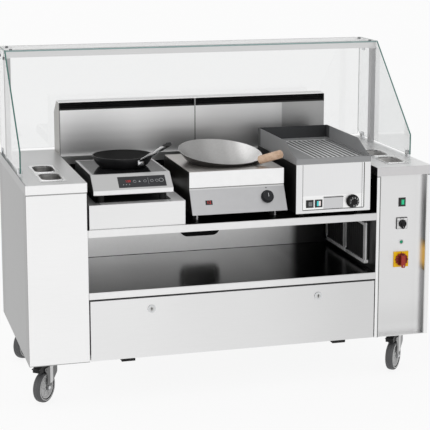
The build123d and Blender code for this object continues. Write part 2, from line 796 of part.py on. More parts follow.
def switch_rocker(x, face, z, width, height):
    """Rocker for such a frame, level at rest, dished between its two ends."""
    half = switch_hollow(height) / 2 - ROCKER_MARGIN
    pivot = face + PIVOT_DEPTH
    with BuildPart() as rocker:
        with BuildSketch(side_on(x - switch_hollow(width) / 2 + PLAY)):
            with BuildLine():
                Polyline(
                    (pivot - ROCKER_FRONT, z + half),
                    (pivot - ROCKER_FRONT + SWITCH_LIP, z),
                    (pivot - ROCKER_FRONT, z - half),
                    (pivot + ROCKER_BACK, z - half),
                    (pivot + ROCKER_BACK, z + half),
                    close=True,
                )
            make_face()
        extrude(amount=switch_hollow(width) - 2 * PLAY)
        with BuildSketch(side_on(x - switch_hollow(width) / 2 - SWITCH_WALL)):
            with Locations((pivot, z)):
                Circle(ROCKER_PIN - RUN)
        extrude(amount=switch_hollow(width) + 2 * SWITCH_WALL)
    return rocker.part


GRIDDLE_FACE = GRIDDLE_FRONT + GRIDDLE_SINK
GRIDDLE_FRAME = (GRIDDLE_SWITCH_W, GRIDDLE_SWITCH_H)
with BuildPart() as switch_frames:
    add(switch_frame(CONTROL_X, PANEL_FACE, FAN_SWITCH_Z, SWITCH_W, SWITCH_H))
    add(switch_frame(GRIDDLE_SWITCH_X, GRIDDLE_FACE, GRIDDLE_SWITCH_Z, *GRIDDLE_FRAME))
    add(switch_frame(GRIDDLE_LAMP_X, GRIDDLE_FACE, GRIDDLE_SWITCH_Z, *GRIDDLE_FRAME))
switch_frames.part.label = "switch_frames"
export_step(switch_frames.part, "parts/switch_frames.step")

with BuildPart() as fan_rocker:
    add(switch_rocker(CONTROL_X, PANEL_FACE, FAN_SWITCH_Z, SWITCH_W, SWITCH_H))
fan_rocker.part.label = "fan_rocker"
export_step(fan_rocker.part, "parts/fan_rocker.step")

with BuildPart() as griddle_rocker:
    add(switch_rocker(GRIDDLE_SWITCH_X, GRIDDLE_FACE, GRIDDLE_SWITCH_Z, *GRIDDLE_FRAME))
griddle_rocker.part.label = "griddle_rocker"
export_step(griddle_rocker.part, "parts/griddle_rocker.step")


# Turned switches of the right column
def dial_plate(at, size, thickness):
    """Square dial plate on plane at, with its shank through the panel and a bore for the knob."""
    with BuildPart() as plate:
        with BuildSketch(at):
            Rectangle(size, size)
        extrude(amount=thickness)
        with BuildSketch(at):
            Circle(BEARING_R)
        extrude(amount=-SWITCH_BODY)
        with BuildSketch(at.offset(thickness)):
            Circle(SPINDLE_R)
        extrude(amount=-SWITCH_BODY - thickness, mode=Mode.SUBTRACT)
    return plate.part


SELECTOR_AT = front_at(CONTROL_X, PANEL_FACE, SELECTOR_Z)
with BuildPart() as selector_plate:
    add(dial_plate(SELECTOR_AT, SELECTOR_PLATE, SELECTOR_T))
selector_plate.part.label = "selector_plate"
export_step(selector_plate.part, "parts/selector_plate.step")

with BuildPart() as selector_knob:
    with BuildSketch(SELECTOR_AT.offset(SELECTOR_T + PLAY)):
        Circle(SELECTOR_R)
        with Locations((0, -SELECTOR_POINT)):
            Circle(SELECTOR_R / 3)
        make_hull()
    extrude(amount=SELECTOR_H)
    chamfer(selector_knob.faces().sort_by(Axis.Y)[0].edges(), SHEET / 2)
    with BuildSketch(SELECTOR_AT.offset(SELECTOR_T + PLAY)):
        Circle(SPINDLE_R - RUN)
    extrude(amount=-SPINDLE_L)
selector_knob.part.label = "selector_knob"
export_step(selector_knob.part, "parts/selector_knob.step")

MAIN_AT = front_at(CONTROL_X, PANEL_FACE, MAIN_SWITCH_Z)
with BuildPart() as main_switch_plate:
    add(dial_plate(MAIN_AT, MAIN_PLATE, MAIN_T))
main_switch_plate.part.label = "main_switch_plate"
export_step(main_switch_plate.part, "parts/main_switch_plate.step")

with BuildPart() as main_switch_knob:
    with BuildSketch(MAIN_AT.offset(MAIN_T + PLAY)):
        Circle(MAIN_R)
    extrude(amount=MAIN_DISC)
    chamfer(main_switch_knob.faces().sort_by(Axis.Y)[0].edges(), SHEET)
    with BuildSketch(MAIN_AT.offset(MAIN_T + PLAY)):
        SlotOverall(2 * MAIN_R, MAIN_GRIP, rotation=90)
    extrude(amount=MAIN_H, taper=KNOB_TAPER)
    with BuildSketch(MAIN_AT.offset(MAIN_T + PLAY)):
        Circle(SPINDLE_R - RUN)
    extrude(amount=-SPINDLE_L)
main_switch_knob.part.label = "main_switch_knob"
export_step(main_switch_knob.part, "parts/main_switch_knob.step")

LAMP_AT = front_at(CONTROL_X, PANEL_FACE, LAMP_Z)
with BuildPart() as pilot_lamp:
    with BuildSketch(LAMP_AT):
        Circle(LAMP_R)
    extrude(amount=LAMP_R / 2)
    chamfer(pilot_lamp.faces().sort_by(Axis.Y)[0].edges(), LAMP_R / 3)
    with BuildSketch(LAMP_AT):
        Circle(LAMP_HOLE)
    extrude(amount=-SWITCH_BODY)
pilot_lamp.part.label = "pilot_lamp"
export_step(pilot_lamp.part, "parts/pilot_lamp.step")

# Filter cassettes: framed panels with a pleated face, standing on a rail of the right casing
for number, name in enumerate(("filter_cassette_front", "filter_cassette_rear")):
    middle = CASSETTE_START + CASSETTE_W / 2 + number * CASSETTE_PITCH
    centre = (middle, CASSETTE_LOW + CASSETTE_H / 2)
    with BuildPart() as cassette:
        with BuildSketch(side_on(INNER - PLAY)):
            with Locations(centre):
                Rectangle(CASSETTE_W, CASSETTE_H)
        extrude(amount=-CASSETTE_T)
        far_edges = cassette.edges().filter_by(Axis.X).group_by(Axis.Y)[-1]
        fillet(far_edges.sort_by(Axis.Z)[0], CASSETTE_CORNER)
        with BuildSketch(side_on(INNER - PLAY - CASSETTE_T)) as recess:
            with Locations(centre):
                Rectangle(CASSETTE_W - 2 * CASSETTE_FRAME, CASSETTE_H - 2 * CASSETTE_FRAME)
            far_corners = recess.vertices().group_by(Axis.X)[-1]
            fillet(far_corners.sort_by(Axis.Y)[0], CASSETTE_CORNER - CASSETTE_FRAME)
        extrude(amount=CASSETTE_SINK, mode=Mode.SUBTRACT)
        with BuildSketch(side_on(INNER - PLAY - CASSETTE_T + CASSETTE_SINK)):
            with Locations(centre):
                with GridLocations(CASSETTE_W / (CASSETTE_PLEATS + 1), 0, CASSETTE_PLEATS, 1):
                    Rectangle(CASSETTE_SINK, CASSETTE_H - 2 * CASSETTE_FRAME)
        extrude(amount=-CASSETTE_SINK / 2)
    cassette.part.label = name
    export_step(cassette.part, f"parts/{name}.step")


# Castors: bolted top plates, then a swivelling fork, a wheel and a brake pedal at each corner
def castor_floor(x, y):
    """Plane on the floor under a swivel axis: local X along the axle, local Y ahead of the wheel."""
    return Plane(origin=(x, y, 0), x_dir=(cos(YAW), -sin(YAW), 0), z_dir=(0, 0, 1))


def rolling(floor, across):
    """Upright plane beside that wheel, across from the swivel axis: local ahead and up."""
    start = floor.from_local_coords((across, 0, 0))
    return Plane(origin=start, x_dir=floor.y_dir, z_dir=floor.x_dir)


CASTORS = {
    "front_left": castor_floor(-CASTOR_X, FRONT + CASTOR_INSET),
    "front_right": castor_floor(CASTOR_X, FRONT + CASTOR_INSET),
    "rear_left": castor_floor(-CASTOR_X, BACK - CASTOR_INSET),
    "rear_right": castor_floor(CASTOR_X, BACK - CASTOR_INSET),
}
HEAD_TOP = UNDERSIDE - PLATE_T - PLAY

with BuildPart() as castor_plates:
    for floor in CASTORS.values():
        with BuildSketch(level(UNDERSIDE)):
            with Locations((floor.origin.X, floor.origin.Y)):
                Rectangle(PLATE_W, PLATE_L)
        extrude(amount=-PLATE_T)
        with BuildSketch(level(UNDERSIDE - PLATE_T)):
            with Locations((floor.origin.X, floor.origin.Y)):
                Circle(SPIGOT_R)
        extrude(amount=-SPIGOT_L)
castor_plates.part.label = "castor_plates"
export_step(castor_plates.part, "parts/castor_plates.step")

for corner, floor in CASTORS.items():
    braked = corner.startswith("front")
    with BuildPart() as fork:
        with BuildSketch(floor.offset(CROWN_Z)):
            Rectangle(2 * (CHEEK_GAP + CHEEK_T), CROWN_L)
            Circle(HEAD_R)
        extrude(amount=CROWN_T)
        with BuildSketch(floor.offset(CROWN_Z)):
            Circle(HEAD_R)
        extrude(amount=HEAD_TOP - CROWN_Z, taper=KNOB_TAPER)
        with BuildSketch(floor.offset(HEAD_TOP)):
            Circle(SPIGOT_R + RUN)
        extrude(amount=-SPIGOT_L - PLAY, mode=Mode.SUBTRACT)
        for across in (-CHEEK_GAP - CHEEK_T, CHEEK_GAP):
            with BuildSketch(rolling(floor, across)):
                with Locations((-TRAIL, WHEEL_R)):
                    Circle(CHEEK_END)
                with Locations(((CROWN_L / 2 - PEDAL_BACK) / 2 - BEND, CROWN_Z)):
                    Rectangle(CROWN_L / 2 + PEDAL_BACK + 2 * BEND, 2 * CROWN_T)
                with Locations((CROWN_L / 2 - CHEEK_END, CROWN_Z - 2 * CHEEK_END)):
                    Circle(CHEEK_END)
                make_hull()
                with Locations((-ARCH_BACK, ARCH_Z)):
                    Circle(ARCH_R, mode=Mode.SUBTRACT)
            extrude(amount=CHEEK_T)
        with BuildSketch(floor.offset(CROWN_Z + CROWN_T)):
            Rectangle(2 * WHEEL_R, 4 * WHEEL_R)
            Circle(HEAD_R, mode=Mode.SUBTRACT)
        extrude(amount=HEAD_R, mode=Mode.SUBTRACT)
        with BuildSketch(rolling(floor, -CHEEK_GAP - 2 * CHEEK_T)):
            with Locations((-TRAIL, WHEEL_R)):
                Circle(AXLE_R)
        extrude(amount=2 * CHEEK_GAP + 4 * CHEEK_T)
        if braked:
            with BuildSketch(rolling(floor, -CHEEK_GAP - CHEEK_T)):
                with Locations((-PEDAL_BACK, PEDAL_Z - BEND)):
                    Circle(PEDAL_PIN)
            extrude(amount=2 * (CHEEK_GAP + CHEEK_T), mode=Mode.SUBTRACT)
    fork.part.label = f"castor_fork_{corner}"
    export_step(fork.part, f"parts/castor_fork_{corner}.step")

    with BuildPart() as wheel:
        with BuildSketch(rolling(floor, -TYRE_W / 2)):
            with Locations((-TRAIL, WHEEL_R)):
                Circle(WHEEL_R)
        extrude(amount=TYRE_W)
        chamfer(wheel.edges().filter_by(GeomType.CIRCLE), TYRE_CHAMFER)
        for across, sink in ((-TYRE_W / 2, RIM_SINK), (TYRE_W / 2, -RIM_SINK)):
            with BuildSketch(rolling(floor, across)):
                with Locations((-TRAIL, WHEEL_R)):
                    Circle(RIM_R)
            extrude(amount=sink, mode=Mode.SUBTRACT)
        with BuildSketch(rolling(floor, PLAY - CHEEK_GAP)):
            with Locations((-TRAIL, WHEEL_R)):
                Circle(BOSS_R)
        extrude(amount=2 * (CHEEK_GAP - PLAY))
        with BuildSketch(rolling(floor, -CHEEK_GAP)):
            with Locations((-TRAIL, WHEEL_R)):
                Circle(AXLE_R + RUN)
        extrude(amount=2 * CHEEK_GAP, mode=Mode.SUBTRACT)
    wheel.part.label = f"castor_wheel_{corner}"
    export_step(wheel.part, f"parts/castor_wheel_{corner}.step")

    if braked:
        with BuildPart() as pedal:
            with BuildSketch(rolling(floor, 2 * PLAY - CHEEK_GAP)) as lever:
                with Locations((-DOME_BACK, DOME_Z)):
                    Circle(DOME_R)
                with Locations((-DOME_BACK, PEDAL_Z - 2 * BEND)):
                    Rectangle(2 * DOME_R, DOME_R, align=(Align.CENTER, Align.MAX), mode=Mode.SUBTRACT)
                with Locations((-PEDAL_TOE, LIP_Z)):
                    Rectangle(PEDAL_TOE - DOME_BACK, LIP_T, align=(Align.MIN, Align.CENTER))
                fillet(lever.vertices(), SHEET)
                with Locations((-DOME_BACK, DOME_Z)):
                    with PolarLocations(DOME_R, TREADS, TREAD_START, TREAD_SWEEP):
                        Circle(TREAD_R, mode=Mode.SUBTRACT)
            extrude(amount=2 * (CHEEK_GAP - 2 * PLAY))
            with BuildSketch(rolling(floor, -CHEEK_GAP - CHEEK_T)):
                with Locations((-PEDAL_BACK, PEDAL_Z - BEND)):
                    Circle(PEDAL_PIN - RUN)
            extrude(amount=2 * (CHEEK_GAP + CHEEK_T))
        pedal.part.label = f"brake_pedal_{corner}"
        export_step(pedal.part, f"parts/brake_pedal_{corner}.step")

# Riser under the hob: a folded box without a bottom
with BuildPart() as riser:
    with BuildSketch(level(DECK)):
        with Locations((RISER_X, RISER_FRONT + RISER_L / 2)):
            RectangleRounded(RISER_W, RISER_L, BEND)
    extrude(amount=RISER_TOP - DECK)
    offset(amount=-SHEET, openings=riser.faces().sort_by(Axis.Z)[0])
riser.part.label = "riser"
export_step(riser.part, "parts/riser.step")

# Induction hob: folded casing, open at the back, with a sloping control front and a glass plate
with BuildPart() as hob_casing:
    with BuildSketch(side_on(HOB_X - HOB_W / 2)):
        with BuildLine():
            Polyline(
                (HOB_FRONT, HOB_LOW),
                (HOB_FRONT, HOB_LIP),
                (HOB_KNEE, HOB_TOP),
                (HOB_BACK, HOB_TOP),
                (HOB_BACK, HOB_LOW),
                close=True,
            )
        make_face()
    extrude(amount=HOB_W)
    offset(amount=-SHEET, openings=hob_casing.faces().sort_by(Axis.Y)[-1])
    fillet(hob_casing.edges().filter_by(Axis.X).sort_by(Axis.Y)[:2], BEND)
    # Ledge under the glass plate
    with BuildSketch(level(HOB_TOP)):
        with Locations((HOB_X, (HOB_KNEE + HOB_BACK) / 2)):
            Rectangle(HOB_W - 2 * SHEET, HOB_BACK - HOB_KNEE)
    extrude(amount=-HOB_GLASS_T - SHEET)
    with BuildSketch(level(HOB_TOP)):
        with Locations((HOB_X, (HOB_KNEE + HOB_BACK) / 2)):
            Rectangle(HOB_W - 2 * HOB_BORDER, HOB_BACK - HOB_KNEE - 2 * HOB_BORDER)
    extrude(amount=-HOB_GLASS_T, mode=Mode.SUBTRACT)
hob_casing.part.label = "hob_casing"
export_step(hob_casing.part, "parts/hob_casing.step")

with BuildPart() as hob_glass:
    with BuildSketch(level(HOB_TOP)):
        with Locations((HOB_X, (HOB_KNEE + HOB_BACK) / 2)):
            Rectangle(HOB_W - 2 * HOB_BORDER, HOB_BACK - HOB_KNEE - 2 * HOB_BORDER)
    extrude(amount=-HOB_GLASS_T)
hob_glass.part.label = "hob_glass"
export_step(hob_glass.part, "parts/hob_glass.step")

# Frying pan: turned body with a curved wall, and a lofted handle seated on that wall
PAN_AXIS = Axis((PAN_X, PAN_Y, HOB_TOP + PLAY), (0, 0, 1))
PAN_SECTION = Plane(origin=PAN_AXIS.position, x_dir=(1, 0, 0), z_dir=(0, -1, 0))
WALL_BULGE = ((PAN_BASE_R + PAN_RIM_R) / 2 + PAN_T / 2, PAN_H / 3)


def pan_wall(inset):
    """Half outline of the pan's side, drawn inwards and up from the base by inset, to the axis."""
    return (
        Line((0, inset), (PAN_BASE_R - inset / 2, inset)),
        ThreePointArc(
            (PAN_BASE_R - inset / 2, inset),
            (WALL_BULGE[0] - inset, WALL_BULGE[1] + inset / 2),
            (PAN_RIM_R - inset, PAN_H),
        ),
        Line((PAN_RIM_R - inset, PAN_H), (0, PAN_H)),
        Line((0, PAN_H), (0, inset)),
    )


with BuildPart() as frying_pan:
    with BuildSketch(PAN_SECTION):
        with BuildLine():
            pan_wall(0)
        make_face()
    revolve(axis=PAN_AXIS)
    with BuildSketch(PAN_SECTION):
        with BuildLine():
            pan_wall(PAN_T)
        make_face()
    revolve(axis=PAN_AXIS, mode=Mode.SUBTRACT)
frying_pan.part.label = "frying_pan"
export_step(frying_pan.part, "parts/frying_pan.step")

PAN_OUT = Vector(cos(PAN_AZIMUTH), sin(PAN_AZIMUTH), 0)
PAN_AIM = PAN_OUT * cos(PAN_RISE) + Vector(0, 0, sin(PAN_RISE))
PAN_ROOT = PAN_AXIS.position + PAN_OUT * (PAN_RIM_R - 2 * PAN_T) + Vector(0, 0, PAN_HANDLE_Z - PAN_T)
PAN_GRIP = Plane(origin=PAN_ROOT, x_dir=Vector(0, 0, 1).cross(PAN_OUT), z_dir=PAN_AIM)
with BuildPart() as pan_handle:
    with BuildSketch(PAN_GRIP):
        Rectangle(HANDLE_ROOT_W, HANDLE_ROOT_H)
    with BuildSketch(PAN_GRIP.offset(PAN_HANDLE_L)):
        Rectangle(HANDLE_TIP_W, HANDLE_TIP_H)
    loft()
    chamfer(pan_handle.edges().sort_by(SortBy.LENGTH)[-4:], HANDLE_ROOT_H / 3)
    with BuildSketch(PAN_SECTION):
        with BuildLine():
            pan_wall(0)
        make_face()
    revolve(axis=PAN_AXIS, mode=Mode.SUBTRACT)
pan_handle.part.label = "pan_handle"
export_step(pan_handle.part, "parts/pan_handle.step")

# Induction wok cooker: folded casing, open at the back, with a sloping control front and a dished top
PANEL_SLOPE = Vector(0, COOKER_PANEL_TOP - COOKER_TOE, COOKER_SEAM - COOKER_LOW).normalized()
KNOB_SHARE = (COOKER_KNOB_Z - COOKER_LOW) / (COOKER_SEAM - COOKER_LOW)
COOKER_KNOB_AT = Plane(
    origin=(COOKER_KNOB_X, COOKER_TOE + KNOB_SHARE * (COOKER_PANEL_TOP - COOKER_TOE), COOKER_KNOB_Z),
    x_dir=(1, 0, 0),
    z_dir=Vector(1, 0, 0).cross(PANEL_SLOPE),
)
with BuildPart() as cooker_casing:
    with BuildSketch(side_on(COOKER_X - COOKER_W / 2)):
        with BuildLine():
            Polyline(
                (COOKER_TOE, COOKER_LOW),
                (COOKER_PANEL_TOP, COOKER_SEAM),
                (COOKER_FRONT, COOKER_SEAM),
                (COOKER_FRONT, COOKER_TOP),
                (COOKER_BACK, COOKER_TOP),
                (COOKER_BACK, COOKER_LOW),
                close=True,
            )
        make_face()
    extrude(amount=COOKER_W)
    chamfer(cooker_casing.faces().sort_by(Axis.Z)[-1].edges(), SHEET / 2)
    offset(amount=-SHEET, openings=cooker_casing.faces().sort_by(Axis.Y)[-1])
    # Dish that the wok sits in
    with Locations((COOKER_X, WOK_Y, WOK_Z)):
        Sphere(WOK_SPHERE + PLAY + DISH_T)
    with BuildSketch(level(COOKER_TOP)):
        with Locations((COOKER_X, WOK_Y)):
            Rectangle(2 * COOKER_W, 2 * COOKER_W)
    extrude(amount=2 * COOKER_W, mode=Mode.SUBTRACT)
    with Locations((COOKER_X, WOK_Y, WOK_Z)):
        Sphere(WOK_SPHERE + PLAY, mode=Mode.SUBTRACT)
    # Bearing for the knob's spindle
    with BuildSketch(COOKER_KNOB_AT):
        Circle(BEARING_R)
    extrude(amount=-SPINDLE_L - SHEET)
    with BuildSketch(COOKER_KNOB_AT):
        Circle(SPINDLE_R)
    extrude(amount=-SPINDLE_L - PLAY, mode=Mode.SUBTRACT)
cooker_casing.part.label = "cooker_casing"
export_step(cooker_casing.part, "parts/cooker_casing.step")


def control_knob(at, radius, height):
    """Tapered control knob on plane at, with a pointer groove and a spindle into the panel."""
    with BuildPart() as knob:
        with BuildSketch(at.offset(PLAY)):
            Circle(radius)
        extrude(amount=height / 4)
        with BuildSketch(at.offset(PLAY)):
            Circle(radius - KNOB_STEP)
        extrude(amount=height - PLAY, taper=KNOB_TAPER)
        with BuildSketch(at.offset(height)):
            with Locations((0, radius / 2)):
                Rectangle(SHEET, radius)
        extrude(amount=-SHEET, mode=Mode.SUBTRACT)
        with BuildSketch(at.offset(PLAY)):
            Circle(SPINDLE_R - RUN)
        extrude(amount=-SPINDLE_L)
    return knob.part


with BuildPart() as cooker_knob:
    add(control_knob(COOKER_KNOB_AT, COOKER_KNOB_R, COOKER_KNOB_H))
cooker_knob.part.label = "cooker_knob"
export_step(cooker_knob.part, "parts/cooker_knob.step")

# Wok: part of a sphere that turns in the cooker's seat, leaning to the front, with a handle socket
WOK_CENTRE = Vector(COOKER_X, WOK_Y, WOK_Z)
WOK_UP = Vector(cos(WOK_LEAN) * sin(WOK_TILT), sin(WOK_LEAN) * sin(WOK_TILT), cos(WOK_TILT))
WOK_FLAT = Vector(cos(WOK_AZIMUTH), sin(WOK_AZIMUTH), 0)
WOK_OUT = (WOK_FLAT - WOK_UP * WOK_FLAT.dot(WOK_UP)).normalized()
WOK_SECTION = Plane(origin=WOK_CENTRE, x_dir=WOK_OUT, z_dir=WOK_OUT.cross(WOK_UP))
RIM_DROP = sqrt(WOK_SPHERE**2 - WOK_RIM**2)
RIM_ANGLE = degrees(asin(RIM_DROP / WOK_SPHERE))
ROOT_R = WOK_RIM - SOCKET_DROP
SOCKET_ROOT = WOK_CENTRE + WOK_OUT * ROOT_R - WOK_UP * sqrt((WOK_SPHERE - WOK_T) ** 2 - ROOT_R**2)
SOCKET_AIM = WOK_OUT * cos(WOK_RISE) + WOK_UP * sin(WOK_RISE)
SOCKET_AT = Plane(origin=SOCKET_ROOT, x_dir=WOK_UP.cross(WOK_OUT), z_dir=SOCKET_AIM)
WOK_HOLLOW = WOK_SPHERE - WOK_T


def bowl_outline(radius, angle):
    """Half outline of the part of a sphere below that angle, closed along the wok's axis."""
    arc = CenterArc((0, 0), radius, -90, 90 - angle)
    Line(arc @ 1, (0, (arc @ 1).Y))
    Line((0, (arc @ 1).Y), arc @ 0)


with BuildPart() as wok:
    with BuildSketch(WOK_SECTION):
        with BuildLine():
            bowl_outline(WOK_SPHERE, RIM_ANGLE)
        make_face()
    revolve(axis=Axis(WOK_CENTRE, WOK_UP))
    with BuildSketch(SOCKET_AT.offset(-SOCKET_SINK)):
        Circle(SOCKET_R)
    extrude(amount=SOCKET_L + SOCKET_SINK)
    with BuildSketch(WOK_SECTION):
        with BuildLine():
            bowl_outline(WOK_HOLLOW, RIM_ANGLE / 2)
        make_face()
    revolve(axis=Axis(WOK_CENTRE, WOK_UP), mode=Mode.SUBTRACT)
wok.part.label = "wok"
export_step(wok.part, "parts/wok.step")

with BuildPart() as wok_handle:
    with BuildSketch(SOCKET_AT.offset(GRIP_START)):
        Circle(GRIP_R)
    extrude(amount=GRIP_L)
    chamfer(wok_handle.edges().filter_by(GeomType.CIRCLE), BEND)
    with BuildSketch(SOCKET_AT):
        Circle(SOCKET_R)
    extrude(amount=SOCKET_L, mode=Mode.SUBTRACT)
wok_handle.part.label = "wok_handle"
export_step(wok_handle.part, "parts/wok_handle.step")

# Griddle: casing with side and rear splash walls, drawer runners, drain and switch openings
GRIDDLE_LEFT = GRIDDLE_X - GRIDDLE_W / 2
GRIDDLE_RIGHT = GRIDDLE_X + GRIDDLE_W / 2
GRIDDLE_MID = (GRIDDLE_FRONT + GRIDDLE_BACK) / 2
GRIDDLE_L = GRIDDLE_BACK - GRIDDLE_FRONT
DRAWER_LOW = DRAWER_Z - DRAWER_H / 2
DRAIN_LOW = DRAWER_Z + DRAWER_H / 2 + 5 * SHEET
KNOB_AT = front_at(GRIDDLE_KNOB_X, GRIDDLE_FACE, GRIDDLE_KNOB_Z)
with BuildPart() as griddle_casing:
    with BuildSketch(level(GRIDDLE_LOW)):
        with Locations((GRIDDLE_X, GRIDDLE_MID)):
            Rectangle(GRIDDLE_W, GRIDDLE_L)
    extrude(amount=GRIDDLE_TOP - GRIDDLE_LOW)
    offset(amount=-SHEET, openings=griddle_casing.faces().sort_by(Axis.Y)[-1])
    with BuildSketch(facing(GRIDDLE_FRONT)):
        with Locations((GRIDDLE_X, (GRIDDLE_LOW + GRIDDLE_TOP) / 2)):
            Rectangle(GRIDDLE_W, GRIDDLE_TOP - GRIDDLE_LOW)
    extrude(amount=-GRIDDLE_SINK - SHEET)
    for x in (GRIDDLE_LEFT, GRIDDLE_RIGHT - GUARD_T):
        with BuildSketch(side_on(x)):
            with BuildLine():
                Polyline(
                    (GRIDDLE_FRONT, GRIDDLE_TOP),
                    (GRIDDLE_FRONT, PLATE_RIM),
                    (GRIDDLE_FRONT + GUARD_START, GUARD_LOW),
                    (GRIDDLE_FRONT + GUARD_START + GUARD_SLOPE, GUARD_TOP),
                    (GRIDDLE_BACK, GUARD_TOP),
                    (GRIDDLE_BACK, GRIDDLE_TOP),
                    close=True,
                )
            make_face()
        extrude(amount=GUARD_T)
    with BuildSketch(facing(GRIDDLE_BACK)):
        with Locations((GRIDDLE_X, (GRIDDLE_TOP + GUARD_TOP) / 2)):
            Rectangle(GRIDDLE_W, GUARD_TOP - GRIDDLE_TOP)
    extrude(amount=GUARD_T)
    # Front panel, sunk between a strip at each side and the skirt
    with BuildSketch(facing(GRIDDLE_FRONT)):
        with BuildLine():
            Polyline(
                (GRIDDLE_LEFT + GRIDDLE_STRIP_L, GRIDDLE_LOW + GRIDDLE_SKIRT),
                (GRIDDLE_RIGHT - GRIDDLE_STRIP_R, GRIDDLE_LOW + GRIDDLE_SKIRT),
                (GRIDDLE_RIGHT - GRIDDLE_STRIP_R, GRIDDLE_TOP),
                (GRIDDLE_LEFT + GRIDDLE_STRIP_L, GRIDDLE_TOP),
                close=True,
            )
        make_face()
    extrude(amount=-GRIDDLE_SINK, mode=Mode.SUBTRACT)
    # Runners under the drawer, its opening, and the drain that leads down to it
    with BuildSketch(level(GRIDDLE_LOW)):
        with Locations((DRAWER_X, GRIDDLE_FACE + DRAWER_L / 2)):
            with GridLocations(DRAWER_W - RUNNER_W, 0, 2, 1):
                Rectangle(RUNNER_W, DRAWER_L)
    extrude(amount=DRAWER_LOW - PLAY - GRIDDLE_LOW)
    with BuildSketch(facing(GRIDDLE_FACE)):
        with Locations((DRAWER_X, DRAWER_Z)):
            Rectangle(DRAWER_W + 2 * PLAY, DRAWER_H + 2 * PLAY)
    extrude(amount=-2 * SHEET, mode=Mode.SUBTRACT)
    with BuildSketch(level(GRIDDLE_TOP)):
        with Locations((DRAWER_X, DRAIN_Y)):
            SlotOverall(DRAIN_W + 2 * SHEET, DRAIN_L + 2 * SHEET)
    extrude(amount=DRAIN_LOW - GRIDDLE_TOP)
    with BuildSketch(facing(GRIDDLE_FACE)):
        with Locations((GRIDDLE_SWITCH_X, GRIDDLE_SWITCH_Z), (GRIDDLE_LAMP_X, GRIDDLE_SWITCH_Z)):
            Rectangle(GRIDDLE_SWITCH_W - 2 * SWITCH_LIP, GRIDDLE_SWITCH_H - 2 * SWITCH_LIP)
    extrude(amount=-SWITCH_BODY, mode=Mode.SUBTRACT)
    # Bearing for the knob's spindle
    with BuildSketch(KNOB_AT):
        Circle(BEARING_R)
    extrude(amount=-SPINDLE_L - SHEET)
    with BuildSketch(KNOB_AT):
        Circle(SPINDLE_R)
    extrude(amount=-SPINDLE_L - PLAY, mode=Mode.SUBTRACT)
    with BuildSketch(level(GRIDDLE_TOP)):
        with Locations((DRAWER_X, DRAIN_Y)):
            SlotOverall(DRAIN_W, DRAIN_L)
    extrude(amount=DRAIN_LOW - GRIDDLE_TOP, mode=Mode.SUBTRACT)
griddle_casing.part.label = "griddle_casing"
export_step(griddle_casing.part, "parts/griddle_casing.step")

# Cooking plate: cast slab with a rim, smooth at the left and ribbed at the right, drained at the front
PLATE_W2 = GRIDDLE_W - 2 * GUARD_T
PLATE_L2 = GRIDDLE_L - GUARD_T
PLATE_Y = GRIDDLE_FRONT + PLATE_L2 / 2
RIBBED_L = PLATE_L2 - 2 * GUARD_START
RIBBED_X = GRIDDLE_RIGHT - GUARD_T - PLATE_BORDER - GROOVES * GROOVE_PITCH / 2
with BuildPart() as griddle_plate:
    with BuildSketch(level(GRIDDLE_TOP)):
        with Locations((GRIDDLE_X, PLATE_Y)):
            Rectangle(PLATE_W2, PLATE_L2)
    extrude(amount=PLATE_RIM - GRIDDLE_TOP)
    with BuildSketch(level(PLATE_RIM)):
        with Locations((GRIDDLE_X, PLATE_Y)):
            RectangleRounded(PLATE_W2 - 2 * PLATE_BORDER, PLATE_L2 - 2 * PLATE_BORDER, PLATE_BORDER)
    extrude(amount=-PLATE_DROP, mode=Mode.SUBTRACT)
    with BuildSketch(level(PLATE_RIM - PLATE_DROP)):
        with Locations((RIBBED_X, PLATE_Y + PLATE_BORDER)):
            with GridLocations(GROOVE_PITCH, 0, GROOVES, 1):
                Rectangle(GROOVE_W, RIBBED_L)
    extrude(amount=-GROOVE_D, mode=Mode.SUBTRACT)
    with BuildSketch(level(PLATE_RIM)):
        with Locations((DRAWER_X, DRAIN_Y)):
            SlotOverall(DRAIN_W, DRAIN_L)
    extrude(amount=GRIDDLE_TOP - PLATE_RIM, mode=Mode.SUBTRACT)
griddle_plate.part.label = "griddle_plate"
export_step(griddle_plate.part, "parts/griddle_plate.step")

# Grease drawer: open box behind a front with a pull lip along its top
with BuildPart() as griddle_drawer:
    with BuildSketch(facing(GRIDDLE_FACE)):
        with Locations((DRAWER_X, DRAWER_Z)):
            Rectangle(DRAWER_W, DRAWER_H)
    extrude(amount=-DRAWER_L)
    with BuildSketch(level(DRAWER_Z + DRAWER_H / 2)):
        with Locations((DRAWER_X, GRIDDLE_FACE + DRAWER_L / 2)):
            Rectangle(DRAWER_W - 2 * DRAWER_WALL, DRAWER_L - 2 * DRAWER_WALL)
    extrude(amount=DRAWER_WALL - DRAWER_H, mode=Mode.SUBTRACT)
    with BuildSketch(facing(GRIDDLE_FACE)):
        with Locations((DRAWER_X, DRAWER_Z + DRAWER_H / 2 - DRAWER_WALL)):
            Rectangle(DRAWER_W, 2 * DRAWER_WALL)
    extrude(amount=KNOB_STEP + DRAWER_WALL)
griddle_drawer.part.label = "griddle_drawer"
export_step(griddle_drawer.part, "parts/griddle_drawer.step")

with BuildPart() as griddle_knob:
    add(control_knob(KNOB_AT, GRIDDLE_KNOB_R, GRIDDLE_FACE - FRONT + KNOB_REACH))
griddle_knob.part.label = "griddle_knob"
export_step(griddle_knob.part, "parts/griddle_knob.step")

